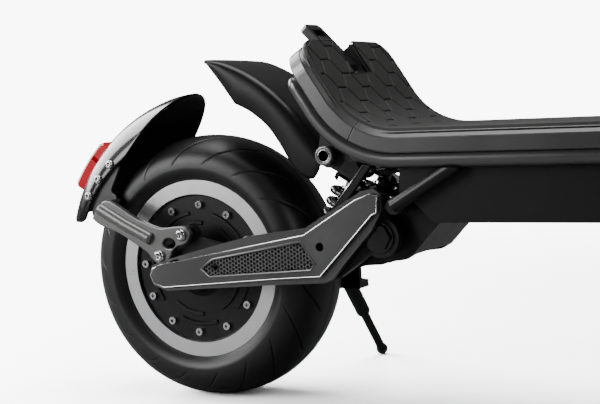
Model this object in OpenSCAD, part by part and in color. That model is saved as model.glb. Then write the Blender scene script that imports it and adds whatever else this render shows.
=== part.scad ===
// Electric kick scooter with a full suspension: deck frame, swing arm, twin shocks,
// hub-motor wheels, telescopic fork, folding stem, brakes, kickstand and lights.
// +X points forward, +Y to the rider's left, +Z up. Z = 0 is the ground.

/* [Overall] */
// Distance between the two wheel axles
wheel_base = 1010; // [940:5:1220]
// Outside diameter of both tyres
tyre_od = 280; // [264:2:296]
// Height of the handlebar's centre above the ground
bar_height = 1226; // [1000:2:1300]
// Tip to tip width of the handlebar
bar_width = 640; // [520:10:780]

/* [Deck] */
// Width of the deck frame
deck_w = 200; // [170:2:260]
// Height of the standing surface above the axles
deck_rise = 143; // [135:1:150]
// Front end of the deck, ahead of the rear axle
deck_front = 750; // [640:5:770]
// Angle at which the tail kicks up
tail_angle = 57; // [50:1:62]
// Radius of the bend under the tail, at the standing surface
tail_bend_r = 30; // [24:1:40]
// Where the bend starts, ahead of the rear axle
tail_bend_x = 236; // [230:1:246]
// Length of the kicked-up part, after the bend
tail_len = 88; // [80:1:100]
// Radius of the tail's two corners
tail_corner_r = 28; // [15:1:40]
// Thickness of the rubber mat
mat_t = 4; // [2:0.5:6]
// Thickness of the plate under the mat
plate_t = 2.5; // [1.5:0.5:4]
// Thickness of the deck frame's side band
band_t = 17; // [14:0.5:20]
// Radius of the tube along each lower edge of the deck
edge_tube_r = 7; // [5:0.5:8]
// Half width of the slot that the tail hook lies in
slot_half = 20; // [18:0.5:24]

/* [Battery box] */
// Width of the battery box
box_w = 170; // [140:2:176]
// Height of the box's floor above the axles
box_floor = 54; // [46:1:64]
// Wall of the battery box
box_wall = 3; // [2:0.5:5]

/* [Wheels] */
// Width of the tyres
tyre_w = 97; // [90:1:100]
// Radius of the rim's edge
rim_r = 94; // [90:1:98]
// Width of the bright ring on the rim's face
rim_ring = 15; // [10:1:20]
// Half width of the rim
rim_half = 40; // [36:1:42]
// Radius of the wheel axles
axle_r = 7; // [5:0.5:9]
// Number of bolts on each hub cover
hub_bolts = 12; // [6:1:16]
// Radius of the circle of hub bolts
hub_bolt_circle = 68; // [60:1:70]
// Radius of the brake discs
disc_r = 72; // [66:1:74]

/* [Rear suspension] */
// Swing arm pivot ahead of the axle
pivot_x = 226; // [216:1:236]
// Swing arm pivot above the axle
pivot_z = 38; // [30:1:44]
// Radius of the pivot shaft
pivot_r = 10; // [8:0.5:12]
// Inner face of each arm plate
arm_in = 58; // [56:0.5:62]
// Thickness of each arm plate
arm_t = 10; // [6:0.5:12]
// Gap between an arm plate and its cover
cover_gap = 6; // [4:0.5:8]
// Thickness of an arm cover
cover_t = 10; // [6:0.5:12]
// Distance of each shock from the middle
shock_y = 36; // [34:0.5:37]
// Radius of the spring, to the middle of its wire
spring_r = 17.5; // [14:0.5:18]
// Radius of the spring's wire
wire_r = 3.8; // [2.5:0.1:4]
// Turns of each spring
spring_turns = 3; // [2:0.5:6]

/* [Mudguards] */
// Radius of the rear mudguard above the axle
guard_r = 175; // [170:1:180]
// Half width of the rear mudguard
guard_half = 62; // [58:1:66]
// Thickness of all mudguards
guard_t = 2.5; // [2:0.5:4]
// Radius of the front mudguard above its axle
front_guard_r = 158; // [152:1:164]

/* [Front end] */
// Lean of the steering axis
rake = 15; // [10:0.5:20]
// Distance of each fork leg from the middle
leg_y = 78; // [74:1:90]
// Radius of the fork's upper tubes
stanchion_r = 15; // [12:0.5:17]
// Radius of the stem tube
stem_r = 25; // [20:1:30]
// Radius of the handlebar
bar_r = 16; // [11:0.5:17]
// Radius of the grips
grip_r = 18; // [16:0.5:20]

/* [Stand] */
// Distance of the kickstand's foot from the middle
foot_y = 235; // [200:1:260]
// Radius of the kickstand's rod
stand_rod_r = 5; // [4:0.5:7]
// Radius of the kickstand's upper sleeve
stand_sleeve_r = 8; // [6:0.5:10]

/* [Node] */
// Which sub-part to draw

/* [Hidden] */
$fn = 48;
fine = 96;
axle_z = tyre_od / 2;
tyre_r = tyre_od / 2;
tail_light_h = 8;
guard_rear_a = 160;
guard_front_a = 87;
front_guard_a0 = 28;
front_guard_half = 56;
front_guard_a1 = 145;
rear_over = -guard_r * cos(guard_rear_a);
front_over = max(front_guard_r * cos(front_guard_a0), tyre_r);
rear_x = -(wheel_base + front_over - rear_over) / 2;
front_x = rear_x + wheel_base;
half_w = deck_w / 2;
cover_in = arm_in + arm_t + cover_gap;
cover_out = cover_in + cover_t;
shell_r = rim_r - rim_ring;
fit = 0.05;
play = 0.4;
far = 400;

// deck layers, as depths below the standing surface
band_top = mat_t + plate_t;
band_bot = band_top + band_t;
bend_steps = 10;
tail_dir = [-cos(tail_angle), sin(tail_angle)];
slot_start = 49;
tail_seam = 216;

// shock ends and tubes, as [forward, up] from the rear axle
shock_low = [158, 30];
shock_top = [194, 103];
shock_dir = (shock_top - shock_low) / norm(shock_top - shock_low);
shock_len = norm(shock_top - shock_low);
shock_tilt = atan2(shock_dir[0], shock_dir[1]);
shock_pin_r = 6;
eye_r = 10;
eye_half = 6;
tail_tube = [167, 117];
tail_tube_r = 9.5;
arm_tube = [172, 10];
arm_tube_r = 9;
low_tube = [253, 70];
low_tube_r = 8;
guard_bolts = [[7, 40], [-21, 18]];
guard_screws = [129, 138, 147];
hub_cover_in = 30;
hub_cover_out = 36;
bearing_r = 14;
disc_y = 48;
disc_t = 2;

// fork stations, as distances along the steering axis from the front axle
lower_crown = 205;
crown_t = 22;
head_low = 235;
head_len = 100;
upper_crown = 343;
base_top = 408;
fold_s = 412;
fold_x = -24;
knuckle_r = 10;
stem_low = 416;
bar_s = (bar_height - axle_z) / cos(rake);
stem_top = bar_s - 22;
steerer_r = 16;
head_r = 24;
fork_travel = 35;
leg_low = -26;
stanchion_low = fork_travel + axle_r + 6;
leg_top = 120;
leg_r = 19;

// kickstand: pivot on the left arm and foot on the ground
stand_pivot = [108, 92, 114 - 140];
foot_r = 7;
stand_foot = [80, foot_y, foot_r - axle_z];
stand_vec = stand_foot - stand_pivot;
stand_len = norm(stand_vec);
stand_stow = [-0.985, 0.12, 0.12];
stand_axis = cross(stand_vec / stand_len, stand_stow);
stand_axis_u = stand_axis / norm(stand_axis);

// ---------- placing and drawing helpers ----------

module rear() translate([rear_x, 0, axle_z]) children();
module front() translate([front_x, 0, axle_z]) children();
module fork() front() rotate([0, -rake, 0]) children();
module both() { children(); mirror([0, 1, 0]) children(); }

// a flat plate from a side outline, between two distances to the left
module slab(y0, y1) translate([0, y1, 0]) rotate([90, 0, 0]) linear_extrude(y1 - y0) children();
// a round bar across the scooter at [forward, up]
module ybar(p, r, y0, y1, sides = 48)
  translate([p[0], y0, p[1]]) rotate([-90, 0, 0]) cylinder(h = y1 - y0, r = r, $fn = sides);
// a round bar between two points
module rod(a, b, r, r2 = -1) {
  v = b - a;
  l = norm(v);
  translate(a) rotate([0, acos(v[2] / l), atan2(v[1], v[0])])
    cylinder(h = l, r1 = r, r2 = r2 < 0 ? r : r2);
}
// a ring about the wheel axis from an outline of [radius, left]
module turned(angle = 360, start = 0, sides = 96)
  rotate([90, 0, 0]) mirror([0, 0, 1]) rotate([0, 0, start])
    rotate_extrude(angle = angle, $fn = sides) children();

// ---------- deck outline ----------

// a point on the tail, t along it and at depth o
function tail_at(t, o) = [
  tail_bend_x - (tail_bend_r + o) * sin(tail_angle) + t * tail_dir[0],
  deck_rise + tail_bend_r - (tail_bend_r + o) * cos(tail_angle) + t * tail_dir[1]];
// one long line of the deck's side view, at depth o, from the front to the tail's end
function deck_line(o, t_end) = concat(
  [[deck_front, deck_rise - o]],
  [for (i = [0:bend_steps]) let (a = tail_angle * i / bend_steps)
    [tail_bend_x - (tail_bend_r + o) * sin(a), deck_rise + tail_bend_r - (tail_bend_r + o) * cos(a)]],
  [tail_at(t_end, o)]);
function flip(v) = [for (i = [len(v) - 1:-1:0]) v[i]];

module layer(o1, o2, t_end) polygon(concat(deck_line(o1, t_end), flip(deck_line(o2, t_end))));
// local X runs up the tail and local Z goes into it
module on_tail() translate([tail_at(0, 0)[0], 0, tail_at(0, 0)[1]]) rotate([0, tail_angle - 180, 0]) children();
module tail_corners(hw, t_end) on_tail() both() difference() {
  translate([t_end - tail_corner_r, hw - tail_corner_r, -1]) cube([tail_corner_r + 1, tail_corner_r + 1, 60]);
  translate([t_end - tail_corner_r, hw - tail_corner_r, -2]) cylinder(r = tail_corner_r, h = 62);
}
module hook_slot() on_tail() translate([slot_start, -slot_half, -1]) cube([80, 2 * slot_half, 40]);
module deck_sheet(o1, o2, t_end, hw) difference() {
  slab(-hw, hw) layer(o1, o2, t_end);
  tail_corners(hw, t_end);
  hook_slot();
}
// the rolled lower edge, built up in three steps round its middle
edge_steps = [[0, 3], [2, 1], [4, 0]];
module edge_tubes() color("black") rear() both() for (e = edge_steps)
  slab(half_w - 2 * edge_tube_r + e[1], half_w - e[1])
    layer(band_bot + e[0], band_bot + 2 * edge_tube_r - e[0], 62 - e[0] / 2);

module deck_band() deck_sheet(band_top, band_bot, tail_len - 2, half_w);
module deck_frame() color("dimgray") rear() difference() {
  intersection() {
    deck_band();
    translate([tail_seam, -far, -far]) cube([far * 4, far * 2, far * 2]);
  }
  translate([300, -box_w / 2 + 1, deck_rise - band_bot - 1])
    cube([deck_front - 320, box_w - 2, band_t - 4 + 1]);
}
module tail_cover() color("dimgray") rear() difference() {
  intersection() {
    deck_band();
    translate([tail_seam - far, -far, -far]) cube([far, far * 2, far * 2]);
  }
  both() ybar(hook_pivot, 3 , slot_half - 1, slot_half + 8);
}
module deck_plate() color("black") rear() deck_sheet(mat_t, band_top, tail_len - 1, half_w - 3);
module deck_mat() color("darkslategray") rear() deck_sheet(0, mat_t, tail_len, half_w - 5);

// ---------- battery box and what it holds ----------

box_back = 258;
module box_outline(w) polygon([[290 + w, box_floor + w], [deck_front - 12 - w, box_floor + w],
  [deck_front - w, box_floor + 12 + w], [deck_front - w, deck_rise - band_bot],
  [box_back + w, deck_rise - band_bot], [box_back + w, 85 + w / 2]]);
module battery_box() color("black") rear() difference() {
  slab(-box_w / 2, box_w / 2) box_outline(0);
  difference() {
    slab(-box_w / 2 + box_wall, box_w / 2 - box_wall) box_outline(box_wall);
    translate([0, -far, deck_rise - band_bot - 0.01]) cube([far * 4, far * 2, 1]);
  }
  translate([box_back + box_wall, -box_w / 2 + box_wall, deck_rise - band_bot - 3])
    cube([deck_front - box_back - 2 * box_wall, box_w - 2 * box_wall, 4]);
}
module battery_pack() color("navy") rear() translate([310, -box_w / 2 + 8, box_floor + box_wall])
  cube([280, box_w - 16, 50]);
module controller() color("silver") rear() translate([605, -55, box_floor + box_wall]) {
  cube([110, 110, 24]);
  for (i = [0:8]) translate([3 + i * 12.5, 0, 24]) cube([4, 110, 8]);
}

// ---------- frame parts round the swing arm ----------

bracket_in = 40;
bracket_out = 50;
module pivot_bracket() color("black") rear() difference() {
  union() {
    both() slab(bracket_in, bracket_out) polygon([[box_back, deck_rise - band_bot], [box_back, 85],
      [290, box_floor], [281, 50], [252, 19], [243, 14], [209, 10], [192, 5], [189, 16], [204, 44],
      [214, 60], [240, 74], [242, deck_rise - band_bot]]);
    ybar([pivot_x, pivot_z], 16, -bracket_in, bracket_in);
    slab(-bracket_in, bracket_in) polygon([[281, 50], [252, 19], [249, 21], [278, 53]]);
  }
  ybar([pivot_x, pivot_z], pivot_r + fit, -60, 60);
  ybar(low_tube, low_tube_r, -60, 60);
}
module brace_tubes() rear() {
  ybar(low_tube, low_tube_r, -92, 92);
  both() difference() {
    rod([low_tube[0], 93, low_tube[1]], [318, 93, 108], 6.5);
    ybar(low_tube, low_tube_r, 80, 92);
    translate([200, 80, deck_rise - band_bot - 2 * edge_tube_r]) cube([200, 30, 40]);
  }
}
module shock_lug(y0, y1, with_tube) difference() {
  union() {
    slab(y0, y1) polygon([tail_at(2, band_bot), tail_at(30, band_bot),
      shock_top + [-12, 8], shock_top + [-11, -4], shock_top + [0, -11], shock_top + [11, -4]]);
    ybar(shock_top, 11, y0, y1);
    if (with_tube) {
      slab(y0, y1) polygon([tail_at(20, band_bot), tail_at(48, band_bot), tail_tube + [-11, 8],
        tail_tube + [-2, -11], shock_top + [-4, -10]]);
      ybar(tail_tube, 12.5, y0, y1);
    }
  }
  ybar(shock_top, shock_pin_r, y0 - 1, y1 + 1);
  ybar(tail_tube, tail_tube_r, y0 - 1, y1 + 1);
}
module shock_mount() color("black") rear() difference() {
  both() {
    shock_lug(shock_y - eye_half - 7, shock_y - eye_half - 0.5, false);
    shock_lug(shock_y + eye_half + 0.5, 51, true);
  }
  on_tail() translate([-60, -far, -far]) cube([200, 2 * far, far + band_bot - 0.01]);
}
module frame_pins() color("silver") rear() {
  ybar(hook_pivot, 3, -slot_half - 7, slot_half + 7);
  ybar(shock_top, shock_pin_r, -51, 51);
  both() ybar(shock_top, 9, 53.6, 58, 6);
  both() ybar(shock_top, shock_pin_r, 50, 54);
}
module frame_tubes() color("black") {
  brace_tubes();
  tail_tube_part();
}
module tail_tube_part() rear() difference() {
  ybar(tail_tube, tail_tube_r, -62, 62);
  ybar(tail_tube, 5.5, -63, 63);
}
skirt_in = 51;
skirt_out = 53.5;
module inner_mudguard() color("black") rear() {
  difference() {
    both() slab(skirt_in, skirt_out) union() {
      polygon([[30, 214], [57, 175], [77, 165], [96, 149], [116, 120], [126, 105], [135, 95],
        [145, 93], [158, 104], [178, 108], [178, 122], [152, 129], [140, 142], [122, 163], [102, 179], [92, 190],
        [88, 204], [51, 216], [38, 220]]);
    }
    ybar(tail_tube, tail_tube_r, -60, 60);
  }
  // the guard's inner sheet, which goes round the tyre
  slab(-skirt_in, skirt_in) polygon([[73, 199.5], [102, 176.5], [122, 160.5], [140, 139.5],
    [149, 131.2], [151, 133.2], [142, 141.5], [124, 162.5], [104, 178.5], [75, 201.5]]);
  // the top sheet, which reaches the tail
  difference() {
    slab(-skirt_in, skirt_in) polygon([[-1, 216.5], [23, 219.5], [51, 213.5], [78, 203.5], [100, 201.5],
      [140, 201.5], [140, 204], [100, 204], [78, 206], [51, 216], [23, 222], [-1, 219]]);
    both() difference() {
      translate([-5, 10, 150]) cube([40, 60, 100]);
      translate([39, 10, 140]) cylinder(r = 41.5, h = 120, $fn = fine);
    }
  }
}

// ---------- neck, head tube and headlight ----------

module neck_side(k) translate([-170, 165]) scale([k, k]) translate([170, -165])
  polygon([[deck_front + 5 - wheel_base, 62], [deck_front + 5 - wheel_base, 134], [-225, 152],
    [-118, 292], [-98, 305], [-72, 248], [-112, 216], [-196, 118], [-228, 66]]);
module neck_frame() color("black") {
  front() difference() {
    union() {
      difference() {
        slab(-36, 36) neck_side(1);
        slab(-31, 31) neck_side(0.84);
        slab(-60, 60) polygon([[-205, 122], [-190, 168], [-160, 196], [-158, 172]]);
      }
      rotate([0, -rake, 0]) translate([0, 0, head_low]) cylinder(r = head_r, h = head_len);
    }
    rotate([0, -rake, 0]) translate([0, 0, head_low - 30]) cylinder(r = steerer_r + 0.5, h = head_len + 60);
  }
  rear() translate([deck_front, -half_w + 6, box_floor + 6]) cube([6, deck_w - 12, deck_rise - box_floor - 14]);
}
module headlight() color("white") fork() difference() {
  translate([head_r - 6, 0, head_low + 45]) rotate([0, 90, 0]) {
    cylinder(r1 = 14, r2 = 20, h = 20);
    translate([0, 0, 20]) cylinder(r = 20, h = 8);
  }
  translate([0, 0, head_low - 1]) cylinder(r = head_r, h = head_len + 2);
}

// ---------- tail hook ----------

hook_tip = [127, 249];
hook_heel = [172, 203];
hook_t = 8;
hook_half = 17;
hook_pivot = [157, 213];
hook_dir = (hook_heel - hook_tip) / norm(hook_heel - hook_tip);
hook_len = norm(hook_heel - hook_tip);
module tail_hook() color("black") rear() difference() {
  translate([hook_tip[0], 0, hook_tip[1]]) rotate([0, atan2(-hook_dir[1], hook_dir[0]), 0]) difference() {
    translate([0, -hook_half, -hook_t]) cube([hook_len, 2 * hook_half, hook_t]);
    translate([8, -hook_half + 6, -hook_t - 1]) cube([19, 2 * hook_half - 12, hook_t + 2]);
    translate([hook_len, 0, 0]) rotate([0, 45, 0]) cube([6, far, 6], center = true);
    both() translate([0, hook_half, 0]) rotate([0, 0, 45]) cube([6, 6, far], center = true);
  }
  ybar(hook_pivot, 3 + fit, -far, far);
}

// ---------- swing arm ----------

module arm_plate() difference() {
  union() {
    polygon([[-19, 9], [-29, 22], [-12, 30], [-3, 46], [10, 50], [18, 36], [52, 28], [140, 33], [150, 42],
      [172, 44], [214, 56], [240, 30], [214, 20], [182, -2], [168, -6], [117, -9], [-15, -14], [-26, -2]]);
    translate([pivot_x, pivot_z]) circle(r = 20);
    for (b = guard_bolts) translate(b) circle(r = 10);
    circle(r = 20);
  }
  translate([pivot_x, pivot_z]) circle(r = pivot_r);
  circle(r = axle_r);
  translate(shock_low) circle(r = shock_pin_r);
  for (b = guard_bolts) translate(b) circle(r = 3);
}
module arm_lug() difference() {
  union() for (b = guard_bolts) translate(b) circle(r = 8);
  for (b = guard_bolts) translate(b) circle(r = 3);
}
module rear_arm() color("black") rear() difference() {
  union() {
    both() slab(arm_in, arm_in + arm_t) arm_plate();
    both() slab(arm_in + arm_t, arm_in + arm_t + 8) arm_lug();
    ybar(arm_tube, arm_tube_r, -arm_in, arm_in);
    both() slab(20, 27) polygon([arm_tube + [8, 4], arm_tube + [-8, -4], shock_low + [-9, -3],
      shock_low + [-7, 6], shock_low + [0, 9], shock_low + [9, 3]]);
  }
  ybar(shock_low, shock_pin_r, -far, far);
}
cover_ridge = [[-19, 9], [152, 41], [209, 75], [225, 81], [232, 79], [231, 63], [226, 61],
  [168, 1], [123, -2], [-15, -14], [-27, -10], [-31, -2], [-28, 5]];
cover_edge = [[-18, 13], [52, 31], [91, 40], [152, 48], [203, 77], [213, 83], [227, 86], [234, 80],
  [235, 65], [223, 45], [178, -3], [170, -6], [117, -9], [-14, -18], [-30, -13], [-35, -2], [-31, 8]];
panel_outline = [[32, 6], [46, 16], [148, 35], [163, 13], [158, 7], [42, -2]];
cover_posts = [[190, 50], [110, 12], [40, 4]];
module arm_cover() difference() {
  union() {
    slab(cover_in, cover_out - 4) polygon(cover_edge);
    slab(cover_out - 4, cover_out) polygon(cover_ridge);
    for (p = cover_posts) ybar(p, 6, arm_in + arm_t, cover_in);
  }
  slab(cover_out - 3, cover_out + 1) polygon(panel_outline);
  ybar([169, 30], 4.3, cover_in - 1, cover_out + 1);
  ybar([48, 7], 2.5, cover_in - 1, cover_out + 1);
  ybar([0, 0], 15, cover_in - 1, cover_out - 4);
  for (b = guard_bolts) ybar(b, 9, cover_in - 1, cover_out + 1);
}
module arm_covers() color("dimgray") rear() both() arm_cover();
cell = 9;
module honeycomb() difference() {
  slab(cover_out - 3, cover_out - 1.2) difference() {
    polygon(panel_outline);
    translate([48, 7]) circle(r = 2.5);
  }
  for (i = [0:14], j = [0:5])
    ybar([38 + i * cell * 0.87, -4 + j * cell + (i % 2) * cell / 2], cell * 0.5,
      cover_out - 2, cover_out, 6);
}
module honeycomb_panels() color("gray") rear() both() honeycomb();
module arm_bolts() color("silver") rear() {
  ybar(shock_low, shock_pin_r, -arm_in - arm_t - 2, arm_in + arm_t + 2);
  ybar([pivot_x, pivot_z], pivot_r, -arm_in - arm_t, arm_in + arm_t);
  both() {
    ybar([pivot_x, pivot_z], 15, arm_in + arm_t, arm_in + arm_t + 2);
    ybar([pivot_x, pivot_z], 13, arm_in + arm_t + 2, cover_in - 0.5, 6);
  }
}
module wheel_axle(y) {
  ybar([0, 0], axle_r, -y, y);
  both() ybar([0, 0], 13, y, y + 8, 6);
}
module rear_axle() color("silver") rear() wheel_axle(arm_in + arm_t);
module stator() difference() {
  union() {
    ybar([0, 0], 62, -16, 16);
    for (i = [0:23]) rotate([0, i * 15, 0]) translate([62, -14, -3]) cube([4, 28, 6]);
  }
  ybar([0, 0], axle_r, -20, 20);
  for (i = [0:5]) rotate([0, i * 60, 0]) ybar([36, 0], 12, -20, 20);
}
module rear_stator() color("peru") rear() stator();

// ---------- rear mudguard and its brackets ----------

bracket_y = arm_in + arm_t + 8;
module mudguard_bracket() {
  difference() {
    union() {
      slab(bracket_y, bracket_y + 4) polygon([[-87, 79], [-105, 58], [-95, 50], [-72, 44], [-37, 21], [-27, 12],
        [-16, 11], [-4, 26], [12, 31], [17, 42], [12, 48], [0, 49], [-22, 47], [-53, 58]]);
      // the step that brings the plate in to the mudguard
      slab(guard_half, bracket_y) polygon([[-87, 79], [-105, 58], [-95, 52], [-76, 68]]);
      slab(guard_half, guard_half + 3) polygon([[-105, 58], [-128, 62], [-130, 74], [-112, 98],
        [-98, 112], [-82, 113], [-80, 100], [-87, 79]]);
      // raised rib
      rod([-92, bracket_y + 4, 62], [-44, bracket_y + 4, 40], 3);
    }
    for (b = guard_bolts) ybar(b, 3, 60, 90);
    ybar([-8, 32], 5, 60, 90);
    for (a = guard_screws) ybar([145 * cos(a), 145 * sin(a)], 2.5, 60, 70);
  }
}
module mudguard_brackets() color("gray") rear() both() mudguard_bracket();
module screw(r, len, head_r, head_h) {
  cylinder(r = r, h = len);
  translate([0, 0, len]) difference() {
    cylinder(r = head_r, h = head_h);
    translate([0, 0, head_h / 2]) cylinder(r = head_r * 0.5, h = head_h, $fn = 6);
  }
}
module mudguard_screws() color("silver") rear() both() {
  for (b = guard_bolts) translate([b[0], arm_in, b[1]]) rotate([-90, 0, 0]) screw(3, arm_t + 12, 6, 5);
  for (a = guard_screws) translate([145 * cos(a), guard_half - guard_t, 145 * sin(a)])
    rotate([-90, 0, 0]) screw(2.5, guard_t + 3, 5, 3);
}
module guard_section(r, hw, depth, t) {
  c = 10;
  polygon([[r - c, -hw], [r - c * 0.3, -hw + c * 0.3], [r, -hw + c], [r, hw - c], [r - c * 0.3, hw - c * 0.3],
    [r - c, hw], [r - depth, hw], [r - depth, hw - t], [r - c, hw - t], [r - c * 0.4 - t * 0.5, hw - c * 0.4 - t * 0.5],
    [r - t, hw - c], [r - t, -hw + c], [r - c * 0.4 - t * 0.5, -hw + c * 0.4 + t * 0.5], [r - c, -hw + t],
    [r - depth, -hw + t], [r - depth, -hw]]);
}
module rear_mudguard() color("black") rear() difference() {
  turned(guard_rear_a - guard_front_a, guard_front_a) guard_section(guard_r, guard_half, 44, guard_t);
  both() slab(guard_half - 12, guard_half + 5) polygon([[-117, 59], [-99, 97], [-82, 113], [-55, 132], [-45, 142],
    [-31, 158], [-10, 162], [20, 168], [20, 40], [-120, 40]]);
  both() for (a = guard_screws) ybar([145 * cos(a), 145 * sin(a)], 2.5, 50, 70);
}
module tail_light() color("red") rear() {
  turned(19, 131) polygon([[guard_r, -38], [guard_r + 5, -38], [guard_r + tail_light_h, -33],
    [guard_r + tail_light_h, 33], [guard_r + 5, 38], [guard_r, 38]]);
}

// ---------- brake ----------

// local X points away from the axle
module caliper(y_end) difference() {
  translate([50, disc_y - 6, -21]) cube([31, y_end - disc_y + 6, 42]);
  translate([30, disc_y - 0.8, -30]) cube([disc_r - 30 + 2, disc_t + 1.6, 60]);
  both() translate([81, 30, 21]) rotate([0, 45, 0]) cube([12, 80, 12], center = true);
}
module rear_brake_caliper() color("silver") rear() rotate([0, -10, 0]) caliper(arm_in);
module disc() difference() {
  ybar([0, 0], disc_r, disc_y, disc_y + disc_t, fine);
  ybar([0, 0], 12, disc_y - 1, disc_y + 5);
  for (i = [0:5]) rotate([0, i * 60, 0]) ybar([38, 0], 11, disc_y - 1, disc_y + 5);
  for (i = [0:23]) rotate([0, i * 15 + (i % 2) * 3, 0])
    ybar([58 + (i % 3) * 5, 0], 2.5, disc_y - 1, disc_y + 5, 16);
}

// ---------- wheels ----------

module tyre() turned() polygon([[91.5, -37], [rim_r, -38], [rim_r + 2, -43.5], [106, -tyre_w / 2 + 1],
  [115, -tyre_w / 2], [124, -46.5], [131, -41], [136, -32], [tyre_r - 1, -18], [tyre_r, -6], [tyre_r, 6],
  [tyre_r - 1, 18], [136, 32], [131, 41], [124, 46.5], [115, tyre_w / 2], [106, tyre_w / 2 - 1],
  [rim_r + 2, 43.5], [rim_r, 38], [91.5, 37], [91.5, 29.5], [97, 34], [106, 42], [118, 43], [127, 34],
  [131, 20], [132, 0], [131, -20], [127, -34], [118, -43], [106, -42], [97, -34], [91.5, -29.5]]);
module rim() turned() polygon([[shell_r, -rim_half], [rim_r, -rim_half], [rim_r, -38], [91.5, -37],
  [91.5, -29], [86, -24], [86, 24], [91.5, 29], [91.5, 37], [rim_r, 38], [rim_r, rim_half],
  [shell_r, rim_half]]);
module motor_shell() turned() polygon([[70, -hub_cover_in], [shell_r, -hub_cover_in],
  [shell_r, hub_cover_in], [70, hub_cover_in]]);
module hub_cover(boss_end) {
  turned() polygon([[bearing_r, hub_cover_in], [shell_r, hub_cover_in], [shell_r, hub_cover_out - 1],
    [shell_r - 2, hub_cover_out], [30, hub_cover_out], [25, hub_cover_out + 4], [22, boss_end],
    [axle_r + 1, boss_end], [axle_r + 1, hub_cover_in + 9], [bearing_r, hub_cover_in + 9]]);
  for (k = [0:4]) for (r = [46, 57])
    turned(44, 12 + k * 72 + (r > 50 ? 16 : 0)) translate([r, hub_cover_out]) polygon([[0, 0], [5, 0], [4, 2], [1, 2]]);
}
module hub_covers() difference() {
  union() {
    hub_cover(disc_y);
    mirror([0, 1, 0]) hub_cover(disc_y - 3);
  }
  for (i = [1:hub_bolts]) rotate([0, i * 360 / hub_bolts + 3, 0]) both()
    ybar([hub_bolt_circle, 0], 2, hub_cover_in - 1, hub_cover_out + 1, 16);
}
module hub_bolt_ring() for (i = [1:hub_bolts]) rotate([0, i * 360 / hub_bolts + 3, 0]) both()
  translate([hub_bolt_circle, hub_cover_in, 0]) rotate([-90, 0, 0]) screw(2, hub_cover_out - hub_cover_in, 4, 4, $fn = 16);
module bearings() both() difference() {
  ybar([0, 0], bearing_r, hub_cover_in, hub_cover_in + 9);
  ybar([0, 0], axle_r + fit, hub_cover_in - 1, hub_cover_in + 10);
}
module rear_tyre() color("black") rear() tyre();
module rear_rim() color("silver") rear() rim();
module rear_hub() color("black") rear() {
  motor_shell();
  hub_covers();
}
module rear_hub_bolts() color("silver") rear() hub_bolt_ring();
module rear_bearings() color("silver") rear() bearings();
module rear_brake_disc() color("silver") rear() disc();
module front_tyre() color("black") front() tyre();
module front_rim() color("silver") front() rim();
module front_hub() color("black") front() {
  motor_shell();
  hub_covers();
  bearings();
}
module front_brake_disc() color("silver") front() {
  disc();
  hub_bolt_ring();
}

// ---------- shocks ----------

module on_shock() translate([shock_low[0], 0, shock_low[1]]) rotate([0, shock_tilt, 0]) children();
spring_low = 17;
spring_high = shock_len - 18;
module shock_bodies() color("gray") rear() both() translate([0, shock_y, 0]) difference() {
  on_shock() union() {
    translate([0, 0, spring_high]) cylinder(r = spring_r + wire_r + 0.2, h = 5, $fn = 12);
    translate([0, 0, spring_high + 5]) cylinder(r1 = 12, r2 = eye_half - 0.2, h = 1.5);
    translate([0, 0, shock_len / 2]) cylinder(r = 11, h = spring_high - shock_len / 2 + 1);
    translate([0, 0, spring_high]) cylinder(r = eye_half - 0.2, h = shock_len - 8 - spring_high);
    translate([0, 0, shock_len]) rotate([90, 0, 0]) cylinder(r = eye_r, h = 2 * eye_half, center = true);
  }
  on_shock() translate([0, 0, shock_len / 2 - 1]) cylinder(r = 5 + play, h = shock_len / 2 - 18);
  ybar(shock_top, shock_pin_r + fit, -20, 20);
}
module shock_rods() color("silver") rear() both() translate([0, shock_y, 0]) difference() {
  on_shock() union() {
    rotate([90, 0, 0]) cylinder(r = eye_r, h = 2 * eye_half, center = true);
    translate([0, 0, 6]) cylinder(r = 5, h = shock_len / 2);
    translate([0, 0, spring_low - 5]) cylinder(r = spring_r + wire_r - 1, h = 5);
    translate([0, 0, 8]) cylinder(r1 = 8, r2 = 14, h = spring_low - 13);
  }
  ybar(shock_low, shock_pin_r + fit, -20, 20);
}
module shock_springs() color("black") rear() both() translate([0, shock_y, 0]) on_shock()
  difference() {
    translate([0, 0, spring_low]) cylinder(r = spring_r + wire_r, h = spring_high - spring_low);
    translate([0, 0, spring_low - 1]) cylinder(r = spring_r - wire_r, h = spring_high);
    for (i = [0:spring_turns - 1])
      translate([0, 0, spring_low + wire_r * 1.6 + i * (spring_high - spring_low - wire_r) / spring_turns])
        difference() {
          cylinder(r = far / 4, h = wire_r);
          cylinder(r = spring_r - wire_r + 1.5, h = wire_r);
        }
  }

// ---------- kickstand ----------

module stand_bracket() color("black") rear() difference() {
  union() {
    translate([92, arm_in + arm_t, -30]) cube([44, 5.6, 26]);
    translate([92, arm_in + arm_t, -34]) cube([44, 16, 8]);
    translate([132, arm_in + arm_t, -34]) cube([4, 22, 8]);
  }
  rod(stand_pivot - stand_axis_u * 40, stand_pivot + stand_axis_u * 40, 10.5);
}
module stand_spring() color("silver") rear() {
  ybar([124, -32], 3, 84, 102);
  for (i = [0:4]) ybar([124, -32], 5, 85 + i * 3.4, 87 + i * 3.4);
}
stand_up = stand_vec / stand_len;
module kickstand() color("black") rear() {
  rod(stand_pivot + stand_up * 80, stand_pivot + stand_up * (stand_len - 4), stand_rod_r);
  rod(stand_pivot, stand_pivot + stand_up * 80, stand_sleeve_r);
  rod(stand_pivot - stand_axis_u * 7, stand_pivot + stand_axis_u * 7, 10);
}
module stand_foot_part() color("black") rear() difference() {
  translate(stand_foot) sphere(r = foot_r);
  rod(stand_pivot, stand_pivot + stand_up * (stand_len - 4), stand_rod_r);
}

// ---------- fork, crowns and folding joint ----------

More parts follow.
